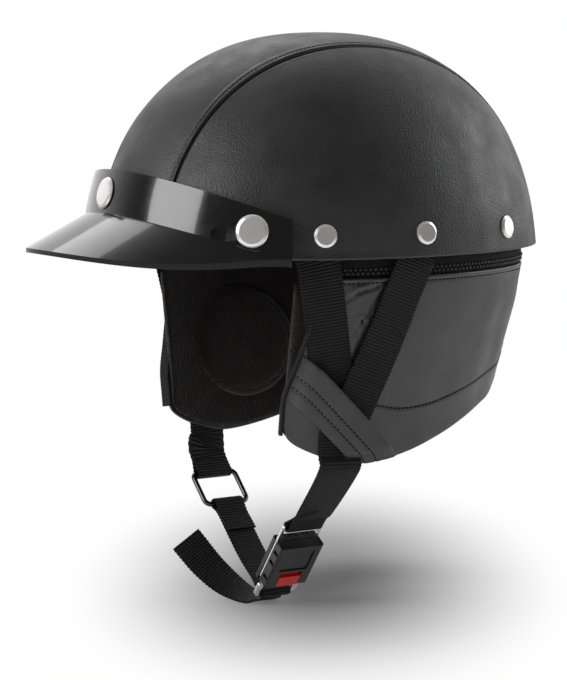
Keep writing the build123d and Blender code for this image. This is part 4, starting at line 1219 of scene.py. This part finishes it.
def headband_place(phi, w):
    t = up_share(w)
    low = rim_height(polar(phi, ring_reach(phi, band_middle) * 0.97, 0).y) + band_above_rim
    z = low + (band_top - low) * t
    quilt = 0.9 * sin(pi * t) - 0.9 * bell(sin(phi * 4), 0.05)
    out = stuffed(w, band_outer, band_inner, rounded(t, 6.0), quilt)
    return polar(phi, ring_reach(phi, out) * ring_share((z - widest) / (rise + out)), z)


lining = grid("fleece_lining", near_ends(90, 1.25), spread(0, 2, 131), lining_place)
soft_pad(lining, 2e-6, fleece, "fleece", "curtain_lining")
for word, side in sides:
    ear_pad(word, side)
crown_cushion()
headband = grid("headband_cushion", spread(0, 2 * pi, 181), spread(0, 2, 49), headband_place, closed=True)
wear(headband, pad_cloth, "padding", "headband_pad")


# Zip

# The chain: its height, how far it lies in from the curtain, where it ends in front, and its pitch
zip_height, zip_in, zip_front, tooth_pitch = -9.1, -1.9, -50.0, 2.9
zip_radius, row_rise, tape_thick, tape_in = 118.0, 0.8, 0.6, 0.4


def ring_spot(angle, z, out, on_shell=False):
    """A place on the curtain or the shell at an angle: 0 is the wearer's left, pi/2 the rear."""
    if on_shell:
        share = ring_share((z - widest) / (rise + out))
        wide, length = (half_width + out) * share, (half_length(sin(angle)) + out) * share
    else:
        wide, length = curtain_half(z, out), curtain_long(sin(angle), z, out)
    return Vector((wide * cos(angle), length * sin(angle), z))


def zip_range(out, on_shell=False):
    """The angles at which the zip starts and ends."""
    length = (front_length + out) if on_shell else curtain_long(-1, zip_height, out)
    start = asin(zip_front / length)
    return start, pi - start


def tape_strip(name, z_low, z_high, out, on_shell):
    """One side's woven tape, from its lower to its upper height."""
    start, end = zip_range(out, on_shell)

    def place(angle, z):
        return ring_spot(angle, z, out - tape_in, on_shell)

    o = grid(name, spread(start, end, 241), spread(z_low, z_high, 9), place)
    face_out(o, (0, 20, -10))
    for corner in o.data.uv_layers.active.data:
        corner.uv = (corner.uv.y, (corner.uv.x - start) * zip_radius)
    thicken(o, tape_thick)
    wear(o, tape_weave, "zip_tape", f"zip_{name}")


def tooth():
    """One tooth: a block on the tape with a narrower head that reaches past the middle of the chain."""
    o = added(bpy.ops.mesh.primitive_cube_add, size=1)
    for vertex in o.data.vertices:
        vertex.co = Vector((vertex.co.x * 1.5, vertex.co.y * 1.25 + 0.35, vertex.co.z * 2.2)) * MM
    bpy.ops.object.mode_set(mode="EDIT")
    edit = bmesh.from_edit_mesh(o.data)
    for face in edit.faces:
        face.select_set(face.normal.y < -0.9)
    bmesh.update_edit_mesh(o.data)
    bpy.ops.mesh.extrude_region_move(TRANSFORM_OT_translate={"value": (0, -0.7 * MM, 0)})
    bpy.ops.transform.resize(value=(0.72, 1, 0.86))
    bpy.ops.object.mode_set(mode="OBJECT")
    modify(o, "BEVEL", width=0.16 * MM, segments=1)
    return o


def tooth_row(name, up):
    """The teeth of the upper row, up 1, or of the lower row, up -1, half a pitch further."""
    start, end = zip_range(zip_in)
    count = round((end - start) * zip_radius / tooth_pitch)
    rising = Vector((0, 0, up))
    places = []
    for i in range(count):
        angle = start + (end - start) * (i + (0.25 if up > 0 else 0.75)) / count
        spot = ring_spot(angle, zip_height + up * row_rise, zip_in)
        ahead = ring_spot(angle + 0.01, zip_height, zip_in) - ring_spot(angle, zip_height, zip_in)
        ahead.normalize()
        places.append(axes(ahead, rising, ahead.cross(rising), spot * MM))
    wear(repeat(name, tooth(), places), tooth_plastic, "zip_teeth", f"zip_{name}")


tape_strip("tape_upper", -7.3, 19.6, -7.4, True)
tape_strip("tape_lower", -20.8, -7.2, -1.5, False)
tooth_row("teeth_upper", 1)
tooth_row("teeth_lower", -1)


# Keepers

# The keeper's length and width directions seen from the side, a place on its upper edge, and its sizes
keeper_run, keeper_up = Vector((0, 0.698, -0.716)), Vector((0, 0.716, 0.698))
keeper_edge, keeper_wide, keeper_rows, keeper_thick = Vector((0, 1.3, -117.3)), 22.9, (10.9, 16.8), 1.4

# How high it stands over the straps, and over which lengths it rises at its front and falls at its end
keeper_low, keeper_rise, front_slope, end_slope = 0.35, 5.3, 13.0, 10.0

# How far its ends stop short of the flap's front edge and foot, and the least length it has
front_play, foot_play, keeper_least = 0.3, 0.4, 30.0


@remembered
def keeper_line(b):
    """The stretch of the keeper at a distance b below its upper edge: where it starts and ends."""
    start = keeper_edge - keeper_up * b
    for _ in range(400):
        if start.y < front_edge(start.z) + front_play:
            break
        start -= keeper_run * 0.25
    end = start + keeper_run * keeper_least
    for _ in range(600):
        if end.z < follow(curtain_foot, end.y) + foot_play:
            break
        end += keeper_run * 0.2
    return start, end


def keeper_place(s, b, lift=0.0):
    start, end = keeper_line(b)
    long = (end - start).length
    p, a = start.lerp(end, s), s * long
    out = keeper_low + keeper_rise * smooth(0.0, front_slope, a) * smooth(0.0, end_slope, long - a)
    out += 0.35 * sin(pi * b / keeper_wide)
    out -= 0.35 * near(min(b, keeper_wide - b), 1.0)
    for row in keeper_rows:
        out -= 0.25 * bell(b - row, 0.5)
    return Vector((curtain_x(p.y, p.z, out + lift), p.y, p.z))


def keeper(word, side):
    """The leather band sewn over both legs, with two rows of stitches."""
    across = [0, 0.3, 0.8, 1.5, 2.5, 4, 6, 8, 9.6, 10.3, 10.9, 11.5, 12.2, 14, 15.5, 16.2, 16.8, 17.4, 18.2,
              20, 21.4, 22.1, 22.6, 22.9]
    o = grid(f"keeper_band_{word}", spread(0, 1, 72), across, keeper_place)
    face_out(o, (0, 0, -80))
    thicken(o, keeper_thick, False)
    rows = []
    for n, row in enumerate(keeper_rows):
        line = []
        for s in spread(0.0, 0.99, 90):
            p, q = keeper_place(s, row, keeper_thick), keeper_place(s, row, keeper_thick + 1.0)
            line.append((p + (q - p) * 0.05, q - p))
        rows.append(stitches(f"keeper_row_{n}", laid_on(o, line), *edge_stitch))
    seams = joined(f"keeper_stitches_{word}", rows)
    if side < 0:
        mirror(o)
        mirror(seams)
    wear(seams, thread, "leather_trim")
    wear(o, trim_leather, "leather_trim", f"{word}_keeper")


for word, side in sides:
    keeper(word, side)


# Camera, floor and light

# The camera, fitted to points measured on the photo: its direction and tilt, its distance in metres, its
# focal length in pixels, its sensor in millimetres, and the pixel at which its target lies
photo_width, photo_height = 567, 680
sight_azimuth, sight_elevation, sight_roll = radians(61.0), radians(2.0), radians(-0.4)
sight_distance, sight_pixels, sensor = 1.7, 2783.0, 36.0
sight_x, sight_y = 316.8, 145.6
sight_target = Vector((0, 0, 0.06))

# The floor's painted shadow, a darker floor colour that the camera sees, in metres: how far behind the object
# its middle lies, and its half sizes
floor_size, painted_shadow_behind, painted_shadow_size = 14.0, 0.1, (0.17, 0.42, 1)


def direction(azimuth, elevation):
    """The direction of a camera or a lamp, seen from the object."""
    return Vector((sin(azimuth) * cos(elevation), -cos(azimuth) * cos(elevation), sin(elevation)))


def stand_camera():
    back = direction(sight_azimuth, sight_elevation)
    right = Vector((cos(sight_azimuth), sin(sight_azimuth), 0))
    up = back.cross(right)
    lens = bpy.data.cameras.new("camera")
    camera = bpy.data.objects.new("camera", lens)
    bpy.context.scene.collection.objects.link(camera)
    bpy.context.scene.camera = camera
    lens.sensor_width = sensor
    lens.lens = sight_pixels * sensor / photo_height
    lens.clip_start, lens.clip_end = 0.05, 60.0
    aim = back * sight_pixels + right * (photo_width / 2 - sight_x) * -1 + up * (photo_height / 2 - sight_y)
    aim.normalize()
    across = Vector((0, 0, 1)).cross(aim).normalized()
    placed = axes(across, aim.cross(across), aim, sight_target + back * sight_distance)
    camera.matrix_world = placed @ Matrix.Rotation(sight_roll, 4, "Z")


def lay_floor():
    """A floor that the camera sees white, with a painted shadow, a darker floor colour, under and behind the
    object.
    """
    lowest = cad_box[0][2]
    ground = added(bpy.ops.mesh.primitive_plane_add, size=floor_size, location=(0, 0, lowest))
    ground.name = "floor"
    bpy.ops.object.transform_apply(location=True)
    pale, tree, shader = finish("pale_floor", (0.8, 0.8, 0.8), 0.9)
    middle = (-painted_shadow_behind * sin(sight_azimuth), painted_shadow_behind * cos(sight_azimuth), lowest)
    local = node(tree, "Mapping", [("Vector", where(tree))], vector_type="TEXTURE",
                 Location=middle, Rotation=(0, 0, sight_azimuth), Scale=painted_shadow_size)
    away = node(tree, "VectorMath", [(0, local.outputs["Vector"])], operation="LENGTH")
    painted_shadow_fade = node(tree, "MapRange", [("Value", away.outputs["Value"])],
                interpolation_type="SMOOTHSTEP", From_Min=0.1, From_Max=1.0)
    # Painted shadow: inside the mask the camera sees the floor dark grey instead of white
    painted_shadow = node(tree, "BsdfDiffuse", Color=(0.22, 0.22, 0.22, 1))
    glow = node(tree, "Emission", Color=(1, 1, 1, 1), Strength=1.0)
    seen = node(tree, "MixShader",
                [(0, painted_shadow_fade.outputs["Result"]), (1, painted_shadow.outputs[0]), (2, glow.outputs[0])])
    rays = node(tree, "LightPath")
    final = node(tree, "MixShader",
                 [(0, rays.outputs["Is Camera Ray"]), (1, shader.outputs[0]), (2, seen.outputs[0])])
    tree.links.new(final.outputs[0], tree.nodes["Material Output"].inputs["Surface"])
    ground.data.materials.append(pale)


def light_room():
    """A white background, and a room that is bright behind the object and dim towards the camera."""
    world = bpy.context.scene.world or bpy.data.worlds.new("studio")
    bpy.context.scene.world = world
    world.use_nodes = True
    tree = world.node_tree
    tree.nodes.clear()
    rays = node(tree, "LightPath")
    direct = node(tree, "Math",
                  [(0, rays.outputs["Is Camera Ray"]), (1, rays.outputs["Is Transmission Ray"])],
                  operation="MAXIMUM")
    look = node(tree, "TexCoord").outputs["Generated"]
    facing = node(tree, "VectorMath", [(0, look)], operation="DOT_PRODUCT")
    facing.inputs[1].default_value = (-sin(sight_azimuth), cos(sight_azimuth), -0.12)
    room = node(tree, "MapRange", [("Value", facing.outputs["Value"])],
                interpolation_type="SMOOTHSTEP", From_Min=-0.1, From_Max=0.75, To_Min=0.09, To_Max=1.0)
    plain = node(tree, "Background", [("Strength", room.outputs["Result"])], Color=(1, 1, 1, 1))
    white = node(tree, "Background", Color=(1, 1, 1, 1), Strength=1.0)
    choice = node(tree, "MixShader",
                  [(0, direct.outputs[0]), (1, plain.outputs[0]), (2, white.outputs[0])])
    node(tree, "OutputWorld", [("Surface", choice.outputs[0])])


def softbox(name, azimuth, elevation, distance, size, power):
    """A square lamp at a direction from the object, turned to it."""
    place = direction(radians(azimuth), radians(elevation)) * distance
    lamp = bpy.data.lights.new(name, "AREA")
    lamp.shape, lamp.size, lamp.energy = "SQUARE", size, power
    o = bpy.data.objects.new(name, lamp)
    bpy.context.scene.collection.objects.link(o)
    o.visible_camera = False
    o.location = place
    o.rotation_euler = place.to_track_quat("Z", "Y").to_euler()
    return o


stand_camera()
lay_floor()
light_room()
softbox("overhead", -60, 84, 1.2, 0.4, 14.0).visible_glossy = False
softbox("key_front", 2, 22, 1.6, 0.9, 15.0)
softbox("far_right", -98, 48, 1.6, 0.8, 3.2)
softbox("rear", 170, 20, 1.7, 1.0, 8.0)

bpy.context.scene.view_settings.view_transform = "Standard"
bpy.context.view_layer.update()
